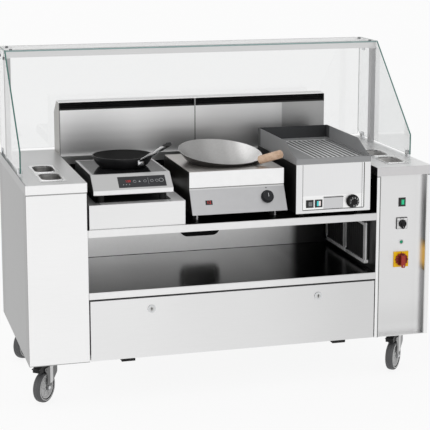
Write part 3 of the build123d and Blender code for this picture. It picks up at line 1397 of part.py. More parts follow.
# Rubber feet under the three appliances
FEET = (
    (RISER_TOP, HOB_LOW, HOB_X, HOB_W, HOB_FRONT, HOB_BACK),
    (DECK, COOKER_LOW, COOKER_X, COOKER_W, COOKER_FRONT, COOKER_BACK),
    (DECK, GRIDDLE_LOW, GRIDDLE_X, GRIDDLE_W, GRIDDLE_FRONT, GRIDDLE_BACK),
)
with BuildPart() as appliance_feet:
    for low, high, x, width, front, back in FEET:
        with BuildSketch(level(low)):
            with Locations((x, (front + back) / 2)):
                with GridLocations(width - FOOT_INSET, back - front - FOOT_INSET, 2, 2):
                    Circle(FOOT_R)
        extrude(amount=high - low)
appliance_feet.part.label = "appliance_feet"
export_step(appliance_feet.part, "parts/appliance_feet.step")
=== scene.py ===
"""Looks of a mobile cooking station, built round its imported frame. Metres, +Z up, the cook at -Y."""
import logging
from collections.abc import Iterable, Sequence
from dataclasses import dataclass, field
from enum import Enum
from functools import cache
from math import cos, pi, radians, sin

import bpy
from mathutils import Matrix, Vector


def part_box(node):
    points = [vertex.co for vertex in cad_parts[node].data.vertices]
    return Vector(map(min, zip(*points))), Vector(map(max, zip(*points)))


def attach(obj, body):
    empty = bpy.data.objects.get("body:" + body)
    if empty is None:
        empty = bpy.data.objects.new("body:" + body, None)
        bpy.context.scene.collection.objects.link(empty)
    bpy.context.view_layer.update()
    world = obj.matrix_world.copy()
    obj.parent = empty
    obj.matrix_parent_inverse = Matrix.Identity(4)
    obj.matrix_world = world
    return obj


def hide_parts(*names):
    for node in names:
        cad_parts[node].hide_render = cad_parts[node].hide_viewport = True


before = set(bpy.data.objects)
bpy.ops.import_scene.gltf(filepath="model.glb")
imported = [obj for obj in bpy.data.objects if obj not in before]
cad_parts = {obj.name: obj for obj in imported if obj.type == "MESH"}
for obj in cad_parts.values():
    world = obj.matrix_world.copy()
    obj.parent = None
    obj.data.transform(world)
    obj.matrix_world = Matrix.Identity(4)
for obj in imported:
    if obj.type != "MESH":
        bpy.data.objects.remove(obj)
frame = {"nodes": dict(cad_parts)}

LOG = logging.getLogger("cooking_station")
Colour = tuple[float, float, float]
Tone = Colour | float
Point = Sequence[float]
Pair = tuple[float, float]
Span = Pair | None
Outline = tuple[Pair, ...]
Socket = bpy.types.NodeSocket
Piece = bpy.types.Object

# Front of the casings, reach of a patch to either side of a sheet and past an edge, and starts of rays
FRONT = -0.397
SKIN = 0.003
HAIR = 0.001
BEFORE = -1.0
OUTSIDE = 2.0

ACROSS = (1.0, 0.0, 0.0)
REARWARDS = (0.0, 1.0, 0.0)
UP = (0.0, 0.0, 1.0)
HALF_TURN = Matrix.Rotation(pi, 4, "X")

# Height and edge of printed marks, height of lit figures, and edge of the marks on knobs
PRINT = 0.0003
PRINT_EDGE = 0.0001
LIT_DIGIT = 0.0002
MARK_EDGE = 0.0002


class Grain(Enum):
    """Direction in which a sheet is brushed: how much the noise is squeezed along each axis."""

    ACROSS = (1.0, 60.0, 60.0)
    DEEP = (60.0, 1.0, 60.0)
    UPRIGHT = (60.0, 60.0, 1.0)
    EVEN = (8.0, 8.0, 8.0)


class Axis(Enum):
    """Axes of the row frame."""

    ACROSS = 0
    DEEP = 1
    UP = 2


class Corner(Enum):
    """Castors, with the swivel's place."""

    FRONT_LEFT = (-0.748, -0.283)
    FRONT_RIGHT = (0.748, -0.283)
    REAR_LEFT = (-0.748, 0.299)
    REAR_RIGHT = (0.748, 0.299)


def rgb(tone: Tone) -> Colour:
    """Red, green and blue of a tone; a plain number is a grey."""
    return (tone, tone, tone) if isinstance(tone, float) else tone


def about(middle: float, half: float) -> Pair:
    """Range that reaches half to either side of its middle."""
    return middle - half, middle + half


class Graph:
    """Node tree of one material, wired step by step up to its Principled shader."""

    # Usual range of noise, and the part of a normal along an axis from which on it leans or faces there
    USUAL = (0.3, 0.7)
    LEANING = 0.05
    SQUARE = 0.7

    def __init__(self, name: str) -> None:
        """Start a material with a Principled shader and the piece's own coordinates.

        Args:
            name: Name of the material.
        """
        self.material = bpy.data.materials.new(name)
        self.material.use_nodes = True
        self.tree = self.material.node_tree
        self.shader = self.tree.nodes["Principled BSDF"]
        coords = self.tree.nodes.new("ShaderNodeTexCoord")
        self.place = coords.outputs["Object"]
        self.normal = coords.outputs["Normal"]

    def feed(self, socket: Socket, value: object) -> None:
        """Link a socket to another one, or set it to a constant.

        Args:
            socket: Input to feed.
            value: Another node's output, a number, or a colour or vector of three numbers.
        """
        if isinstance(value, bpy.types.NodeSocket):
            self.tree.links.new(value, socket)
        elif socket.type == "RGBA":
            socket.default_value = (*value, 1.0)
        else:
            socket.default_value = value

    def put(self, **values: object) -> None:
        """Feed the shader's own sockets, named with underscores for spaces."""
        for name, value in values.items():
            self.feed(self.shader.inputs[name.replace("_", " ")], value)

    def node(self, kind: str, inputs: dict[int | str, object], **settings: object) -> bpy.types.Node:
        """Add one node.

        Args:
            kind: Type of the node without its ShaderNode prefix.
            inputs: Values or outputs for its inputs, by name or number.
            settings: Properties of the node.

        Returns:
            The new node.
        """
        node = self.tree.nodes.new("ShaderNode" + kind)
        for name, value in settings.items():
            setattr(node, name, value)
        for key, value in inputs.items():
            self.feed(node.inputs[key], value)
        return node

    def calc(self, operation: str, *values: object) -> Socket:
        """Result of a Math node on up to three values."""
        return self.node("Math", dict(enumerate(values)), operation=operation).outputs[0]

    def noise(self, scale: float, stretch: Point = (1.0, 1.0, 1.0), detail: float = 2.0) -> Socket:
        """Noise of so many cells per metre, times a stretch along each axis, about 0.5 on average."""
        place = self.node("Mapping", {"Vector": self.place, "Scale": stretch}).outputs[0]
        return self.node("TexNoise", {"Vector": place, "Scale": scale, "Detail": detail}).outputs[0]

    def span(self, value: Socket, low: float, high: float, start: float = 0.0, end: float = 1.0) -> Socket:
        """Value moved from the range start to end onto the range low to high, clamped."""
        ends = {"Value": value, "From Min": start, "From Max": end, "To Min": low, "To Max": high}
        return self.node("MapRange", ends).outputs[0]

    def vary(self, noise: Socket, middle: float, amount: float) -> Socket:
        """Number that wanders with a noise by an amount to either side of its middle."""
        return self.span(noise, middle - amount, middle + amount, *self.USUAL)

    def blend(self, factor: Socket, under: object, over: object) -> Socket:
        """Colour under where factor is 0 and over where it is 1."""
        return self.node("Mix", {0: factor, 6: under, 7: over}, data_type="RGBA").outputs[2]

    def slide(self, factor: Socket, under: object, over: object) -> Socket:
        """Number under where factor is 0 and over where it is 1."""
        return self.node("Mix", {0: factor, 2: under, 3: over}, data_type="FLOAT").outputs[0]

    def scaled(self, colour: object, factor: Socket) -> Socket:
        """Colour times a number."""
        return self.node("VectorMath", {0: colour, 3: factor}, operation="SCALE").outputs[0]

    def along(self, axis: Axis) -> Socket:
        """Coordinate along one axis of the row frame."""
        return self.node("SeparateXYZ", {0: self.place}).outputs[axis.value]

    def inside(self, across: Span, deep: Span, up: Span) -> Socket | None:
        """Mask of a box in the row frame.

        Args:
            across: Lowest and highest x, or None for any.
            deep: Lowest and highest y, or None for any.
            up: Lowest and highest z, or None for any.

        Returns:
            1 inside the box and 0 outside, or None for a box without limits.
        """
        mask = None
        for axis, ends in zip(Axis, (across, deep, up)):
            if ends:
                middle, half = (ends[0] + ends[1]) / 2, (ends[1] - ends[0]) / 2
                here = self.calc("COMPARE", self.along(axis), middle, half)
                mask = self.calc("MULTIPLY", mask, here) if mask else here
        return mask

    def facing(self, axis: Axis, side: float = 0.0) -> Socket:
        """Mask of what faces along an axis.

        Args:
            axis: The axis.
            side: 1 or -1 for all that leans that way, or 0 for what faces along it either way.

        Returns:
            1 there and 0 elsewhere.
        """
        part = self.node("SeparateXYZ", {0: self.normal}).outputs[axis.value]
        if side:
            return self.calc("GREATER_THAN", self.calc("MULTIPLY", part, side), self.LEANING)
        return self.calc("GREATER_THAN", self.calc("ABSOLUTE", part), self.SQUARE)

    def bump(self, height: Socket, distance: float) -> Socket:
        """Normal of a surface raised by height times distance, in metres."""
        return self.node("Bump", {"Height": height, "Distance": distance}).outputs[0]


@dataclass(frozen=True)
class Fade:
    """Painted reflection and shade: slow change of brightness along one axis, as on a sheet that mirrors its
    surroundings.
    """

    axis: Axis
    stops: tuple[Pair, ...]

    def factor(self, graph: Graph) -> Socket:
        """Brightness at each place.

        Args:
            graph: Material that it is wired into.

        Returns:
            Factor on the colour.
        """
        start, end = self.stops[0][0], self.stops[-1][0]
        ramp = graph.node("ValToRGB", {0: graph.span(graph.along(self.axis), 0.0, 1.0, start, end)})
        stops = ramp.color_ramp.elements
        for place, level in self.stops[1:-1]:
            stops.new((place - start) / (end - start)).color = (*rgb(level), 1.0)
        for stop, (_, level) in zip((stops[0], stops[-1]), (self.stops[0], self.stops[-1])):
            stop.color = (*rgb(level), 1.0)
        ramp.color_ramp.interpolation = "EASE"
        return ramp.outputs[0]


@dataclass(frozen=True)
class Patch:
    """Part of a node with another surface, metal here: a box in the row frame, or what faces an axis."""

    colour: Tone
    rough: float = 0.36
    metal: float = 1.0
    across: Span = None
    deep: Span = None
    up: Span = None
    faces: Axis | None = None
    side: float = 0.0
    fade: Fade | None = None

    CLOUDS = 40.0
    FAINT = 0.015

    def mask(self, graph: Graph) -> Socket:
        """Mask of this patch.

        Args:
            graph: Material that it is wired into.

        Returns:
            1 on the patch and 0 off it.
        """
        box = graph.inside(self.across, self.deep, self.up)
        if self.faces is None:
            return box
        facing = graph.facing(self.faces, self.side)
        return graph.calc("MULTIPLY", box, facing) if box else facing

    def tone(self, graph: Graph) -> Socket:
        """Colour of this patch, with faint clouds and its slow change of brightness.

        Args:
            graph: Material that it is wired into.

        Returns:
            The colour.
        """
        level = graph.vary(graph.noise(self.CLOUDS), 1.0, self.FAINT)
        if self.fade:
            level = graph.calc("MULTIPLY", level, self.fade.factor(graph))
        return graph.scaled(rgb(self.colour), level)


@dataclass(frozen=True)
class Spot(Patch):
    """Patch that isn't metal, such as a shadow, paint or plastic."""

    metal: float = 0.0


@dataclass(frozen=True)
class Finish:
    """Surface of a piece; subclasses say how it varies."""

    name: str
    colour: Tone
    rough: float
    metal: float = 0.0
    patches: tuple[Patch, ...] = ()

    def surface(self, graph: Graph) -> tuple[object, object]:
        """Colour and roughness of the main surface, with its fine relief wired in."""
        return rgb(self.colour), self.rough

    def build(self) -> bpy.types.Material:
        """Material of this finish.

        Returns:
            A new material.
        """
        graph = Graph(self.name)
        colour, rough = self.surface(graph)
        metal: object = self.metal
        for patch in self.patches:
            mask = patch.mask(graph)
            colour = graph.blend(mask, colour, patch.tone(graph))
            rough = graph.slide(mask, rough, patch.rough)
            if patch.metal != self.metal:
                metal = graph.slide(mask, metal, patch.metal)
        graph.put(Base_Color=colour, Roughness=rough, Metallic=metal)
        return graph.material


@dataclass(frozen=True)
class Sheet(Finish):
    """Brushed metal sheet: fine streaks along the grain, faint clouds, and slow changes of brightness that
    are painted reflection and shade.
    """

    metal: float = 1.0
    grain: Grain = Grain.ACROSS
    streak: float = 0.012
    fades: tuple[Fade, ...] = ()

    LINES = 14.0
    CLOUDS = 3.0
    RELIEF = 0.000002

    def surface(self, graph: Graph) -> tuple[object, object]:
        """Streaked colour and roughness.

        Args:
            graph: Material that is being wired.

        Returns:
            Colour and roughness.
        """
        lines = graph.noise(self.LINES, self.grain.value, 3.0)
        clouds = graph.noise(self.CLOUDS)
        tone = graph.vary(lines, 1.0, self.streak)
        for fade in self.fades:
            tone = graph.calc("MULTIPLY", tone, fade.factor(graph))
        shine = graph.calc("ADD", graph.vary(lines, 0.0, 0.02), graph.vary(clouds, 0.0, 0.03))
        graph.put(Normal=graph.bump(lines, self.RELIEF))
        return graph.scaled(rgb(self.colour), tone), graph.calc("ADD", shine, self.rough)


@dataclass(frozen=True)
class Moulded(Finish):
    """Moulded plastic, rubber, coating or cast iron with a fine grain."""

    grit: float = 0.00005
    grain_scale: float = 900.0
    gloss: float = 0.5

    CLOUDS = 25.0
    CLOUDED = (0.35, 0.65)
    LIGHTER = 1.12
    LIFT = 0.003

    def surface(self, graph: Graph) -> tuple[object, object]:
        """Colour that varies a little, and grainy relief.

        Args:
            graph: Material that is being wired.

        Returns:
            Colour and roughness.
        """
        grain = graph.noise(self.grain_scale, detail=1.0)
        clouds = graph.noise(self.CLOUDS)
        dark = rgb(self.colour)
        light = tuple(min(1.0, part * self.LIGHTER + self.LIFT) for part in dark)
        colour = graph.blend(graph.span(clouds, 0.0, 1.0, *self.CLOUDED), dark, light)
        rough = graph.calc("ADD", graph.span(clouds, -0.05, 0.05, *self.CLOUDED), self.rough)
        graph.put(Normal=graph.bump(grain, self.grit), Specular_IOR_Level=self.gloss)
        return colour, rough


@dataclass(frozen=True)
class Timber(Finish):
    """Turned pale wood with its grain along the handle."""

    dark: Colour = (0.42, 0.25, 0.14)
    stretch: tuple[float, float, float] = (30.0, 30.0, 60.0)

    RINGS = 0.7
    FIBRES = 0.3
    RELIEF = 0.0001

    def surface(self, graph: Graph) -> tuple[object, object]:
        """Streaked wood colour and a satin surface.

        Args:
            graph: Material that is being wired.

        Returns:
            Colour and roughness.
        """
        rings = graph.noise(1.0, self.stretch, 4.0)
        fibres = graph.noise(7.0, self.stretch, 2.0)
        mixed = graph.calc("ADD", graph.calc("MULTIPLY", rings, self.RINGS),
                           graph.calc("MULTIPLY", fibres, self.FIBRES))
        colour = graph.blend(graph.span(mixed, 0.0, 0.7, 0.42, 0.68), self.colour, self.dark)
        graph.put(Normal=graph.bump(fibres, self.RELIEF))
        return colour, graph.vary(mixed, self.rough, 0.06)


@dataclass(frozen=True)
class Pane(Finish):
    """Clear sheet of glass with green edges."""

    edge: Colour = (0.03, 0.13, 0.11)
    face: Axis = Axis.ACROSS
    index: float = 1.45

    def build(self) -> bpy.types.Material:
        """Glass that lets light through its faces and shows its green body at its edges.

        Returns:
            A new material.
        """
        graph = Graph(self.name)
        face = graph.facing(self.face)
        film = graph.span(graph.noise(4.0), 0.0, 0.02)
        graph.put(
            Base_Color=graph.blend(face, self.edge, self.colour),
            Transmission_Weight=graph.slide(face, 0.3, 1.0),
            Roughness=graph.slide(face, 0.2, film),
            IOR=self.index,
        )
        return graph.material


@dataclass(frozen=True)
class Glow(Finish):
    """Lit sign or lamp."""

    power: float = 1.0

    def build(self) -> bpy.types.Material:
        """Plastic that gives off its own colour.

        Returns:
            A new material.
        """
        graph = Graph(self.name)
        spread = graph.span(graph.noise(300.0), 0.75, 1.0, *graph.USUAL)
        graph.put(Base_Color=graph.scaled(self.colour, spread), Roughness=self.rough,
                  Emission_Color=self.colour, Emission_Strength=self.power)
        return graph.material


@cache
def material(finish: Finish) -> bpy.types.Material:
    """The one material of a finish."""
    return finish.build()


def dress(finish: Finish, *names: str) -> None:
    """Give nodes of the frame a finish.

    Args:
        finish: What they are made of.
        names: Nodes of the frame.
    """
    for name in names:
        slots = frame["nodes"][name].data.materials
        slots.clear()
        slots.append(material(finish))
    LOG.info("%s on %s", finish.name, ", ".join(names))


def place(origin: Point, across: Point = ACROSS, up: Point = UP) -> Matrix:
    """Frame of a new piece; as given, it faces the cook.

    Args:
        origin: Where the piece's own origin goes.
        across: Direction of its X.
        up: Rough direction of its Y; its Z comes out of both.

    Returns:
        Matrix that moves the piece there.
    """
    x = Vector(across).normalized()
    y = Vector(up)
    y = (y - y.dot(x) * x).normalized()
    matrix = Matrix((x, y, x.cross(y))).transposed().to_4x4()
    matrix.translation = Vector(origin)
    return matrix


def seat(node: str, start: Point, way: Point = REARWARDS, level: float = 0.9) -> Matrix:
    """Frame on a node's surface, with Z out of it and Y as far up, or to the rear, as it goes.

    Args:
        node: Node that carries the piece.
        start: Point outside it.
        way: Direction in which the surface is met.
        level: Upward part of the normal from which on Y goes to the rear.

    Returns:
        Matrix that moves a piece there.
    """
    hit, point, normal, _ = frame["nodes"][node].ray_cast(Vector(start), Vector(way))
    if not hit:
        raise ValueError(f"{node} isn't met from {tuple(start)}")
    up = Vector(UP if abs(normal.z) < level else REARWARDS)
    across = up.cross(normal)
    return place(point, across, normal.cross(across))


def shift(x: float = 0.0, y: float = 0.0, z: float = 0.0) -> Matrix:
    """Move along a piece's own axes."""
    return Matrix.Translation((x, y, z))


def turns(count: int) -> list[Matrix]:
    """Even turns about a piece's own Z, once round."""
    return [Matrix.Rotation(radians(360.0 * number / count), 4, "Z") for number in range(count)]


class Bench:
    """Blender's own modelling tools, run in code on one piece at a time."""

    SEGMENTS = 2
    WELD = 0.00001

    @staticmethod
    def clear() -> None:
        """Deselect everything."""
        bpy.ops.object.select_all(action="DESELECT")

    @staticmethod
    def own(piece: Piece) -> None:
        """Make a piece the only selected one, and the active one.

        Args:
            piece: The piece.
        """
        Bench.clear()
        piece.select_set(True)
        bpy.context.view_layer.objects.active = piece

    @staticmethod
    def settle(name: str, at: Matrix | None = None) -> Piece:
        """Name the active piece, move it to its place and put that place into its mesh.

        Args:
            name: Name of the piece.
            at: Frame that it is moved to, if it moves.

        Returns:
            The piece.
        """
        piece = bpy.context.object
        piece.name = piece.data.name = name
        if at is not None:
            piece.matrix_world = at @ piece.matrix_world
        Bench.own(piece)
        bpy.ops.object.transform_apply(location=True, rotation=True, scale=True)
        return piece

    @staticmethod
    def block(name: str, low: Point, high: Point, edge: float, at: Matrix | None = None) -> Piece:
        """Box with rounded edges.

        Args:
            name: Name of the piece.
            low: Lowest corner.
            high: Highest corner.
            edge: Radius of its edges.
            at: Frame in which the corners are given.

        Returns:
            The piece.
        """
        Bench.clear()
        size = Vector(high) - Vector(low)
        bpy.ops.mesh.primitive_cube_add(size=1.0, location=(Vector(low) + Vector(high)) / 2, scale=size)
        Bench.settle(name)
        bpy.ops.object.mode_set(mode="EDIT")
        bpy.ops.mesh.select_all(action="SELECT")
        bpy.ops.mesh.bevel(offset=edge, segments=Bench.SEGMENTS, affect="EDGES")
        bpy.ops.object.mode_set(mode="OBJECT")
        return Bench.settle(name, at)

    @staticmethod
    def chain(points: Iterable[Point]) -> None:
        """Start a mesh as a chain of points and stay in edit mode with all of it selected.

        Args:
            points: Points to run through.
        """
        Bench.clear()
        bpy.ops.mesh.primitive_plane_add(size=0.001)
        bpy.ops.object.mode_set(mode="EDIT")
        bpy.ops.mesh.select_mode(type="VERT")
        bpy.ops.mesh.select_all(action="SELECT")
        bpy.ops.mesh.merge(type="CENTER")
        here = Vector((0.0, 0.0, 0.0))
        for number, point in enumerate(map(Vector, points)):
            if number:
                bpy.ops.mesh.extrude_region_move(TRANSFORM_OT_translate={"value": point - here})
            else:
                bpy.ops.transform.translate(value=point - here)
            here = point
        bpy.ops.mesh.select_all(action="SELECT")

    @staticmethod
    def close() -> None:
        """Merge doubles, turn all faces outwards and leave edit mode."""
        bpy.ops.mesh.select_all(action="SELECT")
        bpy.ops.mesh.remove_doubles(threshold=Bench.WELD)
        bpy.ops.mesh.normals_make_consistent(inside=False)
        bpy.ops.object.mode_set(mode="OBJECT")

    @staticmethod
    def turned(name: str, profile: Iterable[Pair], at: Matrix | None = None, steps: int = 32) -> Piece:
        """Piece turned about its Z.

        Args:
            name: Name of the piece.
            profile: Radius and height of its points, from the axis round to the axis, or closed.
            at: Frame that it is moved to.
            steps: Facets around.

        Returns:
            The piece.
        """
        Bench.chain((radius, 0.0, height) for radius, height in profile)
        bpy.ops.mesh.spin(steps=steps, angle=2 * pi, center=(0.0, 0.0, 0.0), axis=UP)
        Bench.close()
        return Bench.settle(name, at)

    @staticmethod
    def slab(name: str, outline: Outline, depth: float, edge: float, at: Matrix | None = None) -> Piece:
        """Plate cut to an outline, with the edges of its face rounded.

        Args:
            name: Name of the piece.
            outline: Corners in its own X and Y.
            depth: Thickness along its Z.
            edge: Radius of the edges, or 0.
            at: Frame that it is moved to.

        Returns:
            The piece.
        """
        Bench.chain((x, y, 0.0) for x, y in outline)
        bpy.ops.mesh.edge_face_add()
        bpy.ops.mesh.extrude_region_move(TRANSFORM_OT_translate={"value": (0.0, 0.0, depth)})
        if edge:
            bpy.ops.mesh.bevel(offset=edge, segments=Bench.SEGMENTS, affect="EDGES")
        Bench.close()
        return Bench.settle(name, at)

    @staticmethod
    def label(name: str, words: str, size: float, depth: float, at: Matrix) -> Piece:
        """Raised figures.

        Args:
            name: Name of the piece.
            words: Figures to write.
            size: Height of the type.
            depth: How far they stand out.
            at: Frame of their middle.

        Returns:
            The piece.
        """
        Bench.clear()
        bpy.ops.object.text_add()
        text = bpy.context.object.data
        text.body, text.size, text.extrude = words, size, depth
        text.align_x, text.align_y = "CENTER", "CENTER"
        bpy.ops.object.convert(target="MESH")
        return Bench.settle(name, at)

    @staticmethod
    def dial(name: str, digits: str, angles: Pair, radius: float, size: float, at: Matrix) -> Piece:
        """Raised figures round a dial.

        Args:
            name: Name of the piece.
            digits: One figure for each place.
            angles: Direction of the first, from the dial's X, and angle from one to the next, in degrees.
            radius: Distance from the middle.
            size: Height of the type.
            at: Frame of the dial.

        Returns:
            The piece.
        """
        made = []
        for number, digit in enumerate(digits):
            angle = radians(angles[0] + angles[1] * number)
            spot = at @ shift(radius * cos(angle), radius * sin(angle))
            made.append(Bench.label(f"{name}_{number}", digit, size, PRINT, spot))
        return Bench.join(name, made)

    @staticmethod
    def copies(name: str, piece: Piece, moves: Iterable[Matrix]) -> Piece:
        """Copies of a piece, joined into one; the pattern itself is taken away.

        Args:
            name: Name of the joined piece.
            piece: Pattern, made at the origin.
            moves: Frame of each copy.

        Returns:
            The joined piece.
        """
        made = []
        for number, move in enumerate(moves):
            Bench.own(piece)
            bpy.ops.object.duplicate(linked=False)
            made.append(Bench.settle(f"{name}_{number}", move))
        bpy.data.objects.remove(piece)
        return Bench.join(name, made)

    @staticmethod
    def join(name: str, pieces: Sequence[Piece], at: Matrix | None = None) -> Piece:
        """Join pieces into one.

        Args:
            name: Name of the joined piece.
            pieces: What is joined.
            at: Frame that it is moved to.

        Returns:
            The joined piece.
        """
        Bench.own(pieces[0])
        for piece in pieces[1:]:
            piece.select_set(True)
        bpy.ops.object.join()
        return Bench.settle(name, at)


def fit(piece: Piece, finish: Finish, body: str = "station", sharp: float = 35.0) -> Piece:
    """Give a new piece its finish, smooth it and let it ride on its body.

    Args:
        piece: The new piece.
        finish: What it is made of.
        body: Body that carries it.
        sharp: Angle in degrees past which an edge stays sharp.

    Returns:
        The piece.
    """
    piece.data.materials.clear()
    piece.data.materials.append(material(finish))
    Bench.own(piece)
    bpy.ops.object.shade_smooth_by_angle(angle=radians(sharp))
    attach(piece, body)
    LOG.info("%s of %s rides on %s", piece.name, finish.name, body)
    return piece


# Painted shade: colour of steel faces that lie in shade, over the deck and on the columns' inner faces
INSIDE_SHADE = (0.035, 0.035, 0.036)
SHADOW = 0.008
ZINC = Sheet("zinc", (0.62, 0.62, 0.61), 0.34, grain=Grain.EVEN)
CHROME = Sheet("clamp_chrome", (0.66, 0.67, 0.68), 0.14, grain=Grain.EVEN)
DARK_CHROME = Sheet("dark_chrome", (0.24, 0.24, 0.25), 0.2, grain=Grain.EVEN)
BLACK = Moulded("black_plastic", (0.007, 0.007, 0.0075), 0.4, gloss=0.22)
RUBBER = Moulded("black_rubber", 0.014, 0.7, gloss=0.2)
RED_LED = Glow("red_digits", (0.62, 0.015, 0.015), 0.4, power=0.35)
PALE_MARK = Moulded("pale_marks", (0.80, 0.81, 0.82), 0.5)
SHOWN = Moulded("dark_window", (0.012, 0.010, 0.010), 0.12, grit=0.0)


class Switches(Enum):
    """Finishes that several switches share."""

    RED = Moulded("red_plastic", (0.30, 0.020, 0.014), 0.34, gloss=0.3)
    # Knob body: red painted deeper for the shade inside its ring of lobes
    DEEP = Moulded("shaded_red_plastic", (0.13, 0.010, 0.007), 0.4, gloss=0.25)
    GRIP = Moulded("grip_red_plastic", (0.34, 0.030, 0.020), 0.34, gloss=0.35)
    FRAME = Moulded("switch_black", 0.012, 0.35)


class Wheel(Enum):
    """Finishes of the castor wheels."""

    TYRE = Moulded("castor_tyre", (0.085, 0.085, 0.088), 0.55, grit=0.0002)
    HUB = Moulded("castor_hub", 0.52, 0.4)


class Panel(Enum):
    """Finishes of printed fields."""

    FIELD = Moulded("control_field", (0.052, 0.053, 0.056), 0.5, grit=0.00002, gloss=0.05)
    KEYS = Moulded("key_marks", (0.40, 0.41, 0.42), 0.5)


class Lamp(Enum):
    """Lenses of the griddle's lamps."""

    TEAL = Glow("teal_lens", (0.05, 0.55, 0.55), 0.2, power=0.35)
    PINK = Glow("pink_lens", (0.80, 0.71, 0.70), 0.2, power=0.30)


class Assembly:
    """Part of the station; each kind says which pieces it adds and how it is dressed."""

    def build(self) -> None:
        """Make the pieces that the frame lacks, if any."""

    def dress(self) -> None:
        """Give the frame's nodes their finishes."""


@dataclass
class Columns(Assembly):
    """Casings, worktop and the wells in it."""

    side: float = 0.84
    inner: float = 0.6
    wall: float = 0.004
    deck: float = 0.707
    back: float = 0.413
    fold: float = 0.062
    rear_fold: float = 0.10
    groove: float = 0.004
    seam: Pair = (0.8545, 0.8595)
    gap: float = 0.825
    gap_half: float = 0.0025
    sunk: Pair = (-0.387, -0.36)
    # Where the painted shadow line along the left flange's edge runs
    shadow_line_x: Pair = (0.6122, 0.6160)
    well_rim: Pair = (0.8938, 0.905)

    def dress(self) -> None:
        """Dress the columns from the casings to the wells."""
        self.casings()
        self.control_panel()
        self.worktop()
        self.wells()

    def casings(self) -> None:
        """Brushed casings with painted shade on the outer sides, folds, seams, foot and insides over the
        deck, and painted reflection in the gap.
        """
        flank, face = about(-self.side, self.wall), about(FRONT, SKIN)
        near, edge = FRONT + HAIR, FRONT + self.fold
        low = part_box("left_casing")[0].z
        # Painted shade: the outer left side, its front fold, its groove and its rear fold are darker where
        # less light falls
        grey = Patch(0.345, across=flank, deep=(near, 1.0))
        fold = Patch(0.325, across=flank, deep=(near, edge))
        line = Patch(0.25, across=flank, deep=(edge, edge + self.groove))
        rear = Patch(0.315, across=flank, deep=(self.back - self.rear_fold, self.back))
        # Painted shade under the worktop's seam and along the foot of the front
        under = Patch(0.34, deep=face, up=self.seam)
        foot = Patch(0.42, deep=face, up=(low - HAIR, low + SKIN))
        # Painted shade on the inner face over the deck
        shaded_inside_left = Patch(INSIDE_SHADE, 0.3, across=about(-self.inner, self.wall), up=(self.deck, 0.9))
        behind = Patch(0.68, deep=about(self.back, SKIN))
        dress(Sheet("left_casing_steel", 0.995, 0.36,
                    patches=(grey, fold, line, rear, under, foot, shaded_inside_left, behind)), "left_casing")
        gap = about(self.gap, self.gap_half)
        # Painted reflection in the flange's gap, lighter and darker by height, with the yellow plate painted
        # in as a reflected band
        shade = Fade(Axis.UP, ((0.18, 0.28), (0.42, 0.42), (0.50, 0.42), (0.58, 0.14), (0.70, 0.12),
                               (0.86, 0.45)))
        reflection_band = Fade(Axis.UP, ((0.44, 0.15), (0.49, 1.0), (0.53, 1.0), (0.58, 0.15)))
        # Painted shade on the inner face and the outer right side, and a painted shadow line along the left
        # flange's edge
        shaded_inside_right = Patch(INSIDE_SHADE, 0.3, across=about(self.inner, self.wall), deep=(FRONT + self.wall, 1.0))
        mirror = Patch((0.62, 0.62, 0.63), 0.3, across=gap, deep=self.sunk, fade=shade)
        yellow_reflection = Patch((0.60, 0.33, 0.03), 0.3, across=gap, deep=self.sunk, up=(0.445, 0.575), fade=reflection_band)
        rim = Patch(0.16, across=self.shadow_line_x)
        outer = Patch(0.60, across=about(self.side, self.wall), deep=(near, 1.0))
        dress(Sheet("right_casing_steel", 0.90, 0.36,
                    patches=(shaded_inside_right, mirror, yellow_reflection, rim, under, outer, behind)), "right_casing")

    def control_panel(self) -> None:
        """Panel with painted light that brightens it towards its right edge, and a painted shade line under
        the worktop.
        """
        # Painted light and shade by height and towards the gap, and painted shade under the worktop's seam
        down = Fade(Axis.UP, ((0.18, 0.97), (0.23, 0.90), (0.35, 0.97), (0.60, 1.0), (0.86, 1.0)))
        beside = Fade(Axis.ACROSS, ((0.61, 1.0), (0.785, 1.0), (0.81, 1.12), (0.825, 1.26)))
        under = Patch(0.30, up=self.seam)
        dress(Sheet("control_steel", 0.79, 0.36, fades=(down, beside), patches=(under,)), "control_panel")

    def worktop(self) -> None:
        """Slab with painted light and shade: brightness across its top, a lighter right top, a painted
        highlight on the left front, and painted shade on the left end and the right front.
        """
        # Painted reflection across the slab's top
        tops = Fade(Axis.ACROSS, ((-0.84, 0.88), (-0.62, 0.87), (-0.58, 0.80), (0.58, 0.80), (0.66, 1.10),
                                  (0.84, 1.11)))
        face = about(FRONT, SKIN)
        # Painted light on the right top, painted shade on the left end, a painted highlight on the left front
        # and painted shade on the right front
        pale = Patch(0.97, metal=0.6, across=(0.6, 0.85), faces=Axis.UP)
        left = Patch(0.40, across=about(-self.side, self.wall))
        bright = Patch(1.0, across=(-0.85, 0.0), deep=face)
        shaded_front = Patch((0.67, 0.66, 0.665), across=(0.5, 0.85), deep=face)
        dress(Sheet("worktop_steel", 0.90, 0.34, grain=Grain.DEEP, fades=(tops,),
                    patches=(pale, left, bright, shaded_front)), "worktop")

    def wells(self) -> None:
        """Bright rims, a painted shadow under their front edge, and tubs with painted shade that darkens
        towards their sides.
        """
        edge = Patch(1.0, 0.25, up=self.well_rim)
        for name, metal in (("well_insert_left", 1.0), ("well_insert_right", 0.45)):
            low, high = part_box(name)
            middle = (low.x + high.x) / 2
            # Painted shadow under the insert's front edge, and painted shade darkening the tubs towards their
            # sides
            shade = Patch(0.55, 0.3, deep=(low.y - HAIR, low.y + SKIN), up=self.well_rim)
            tub_shade = Fade(Axis.ACROSS, ((low.x, 0.5), (middle - 0.012, 1.25), (middle + 0.015, 1.0),
                                          (high.x, 0.55)))
            dress(Sheet(f"{name}_steel", (0.80, 0.79, 0.78), 0.3, metal, grain=Grain.EVEN, fades=(tub_shade,),
                        patches=(edge, shade)), name)


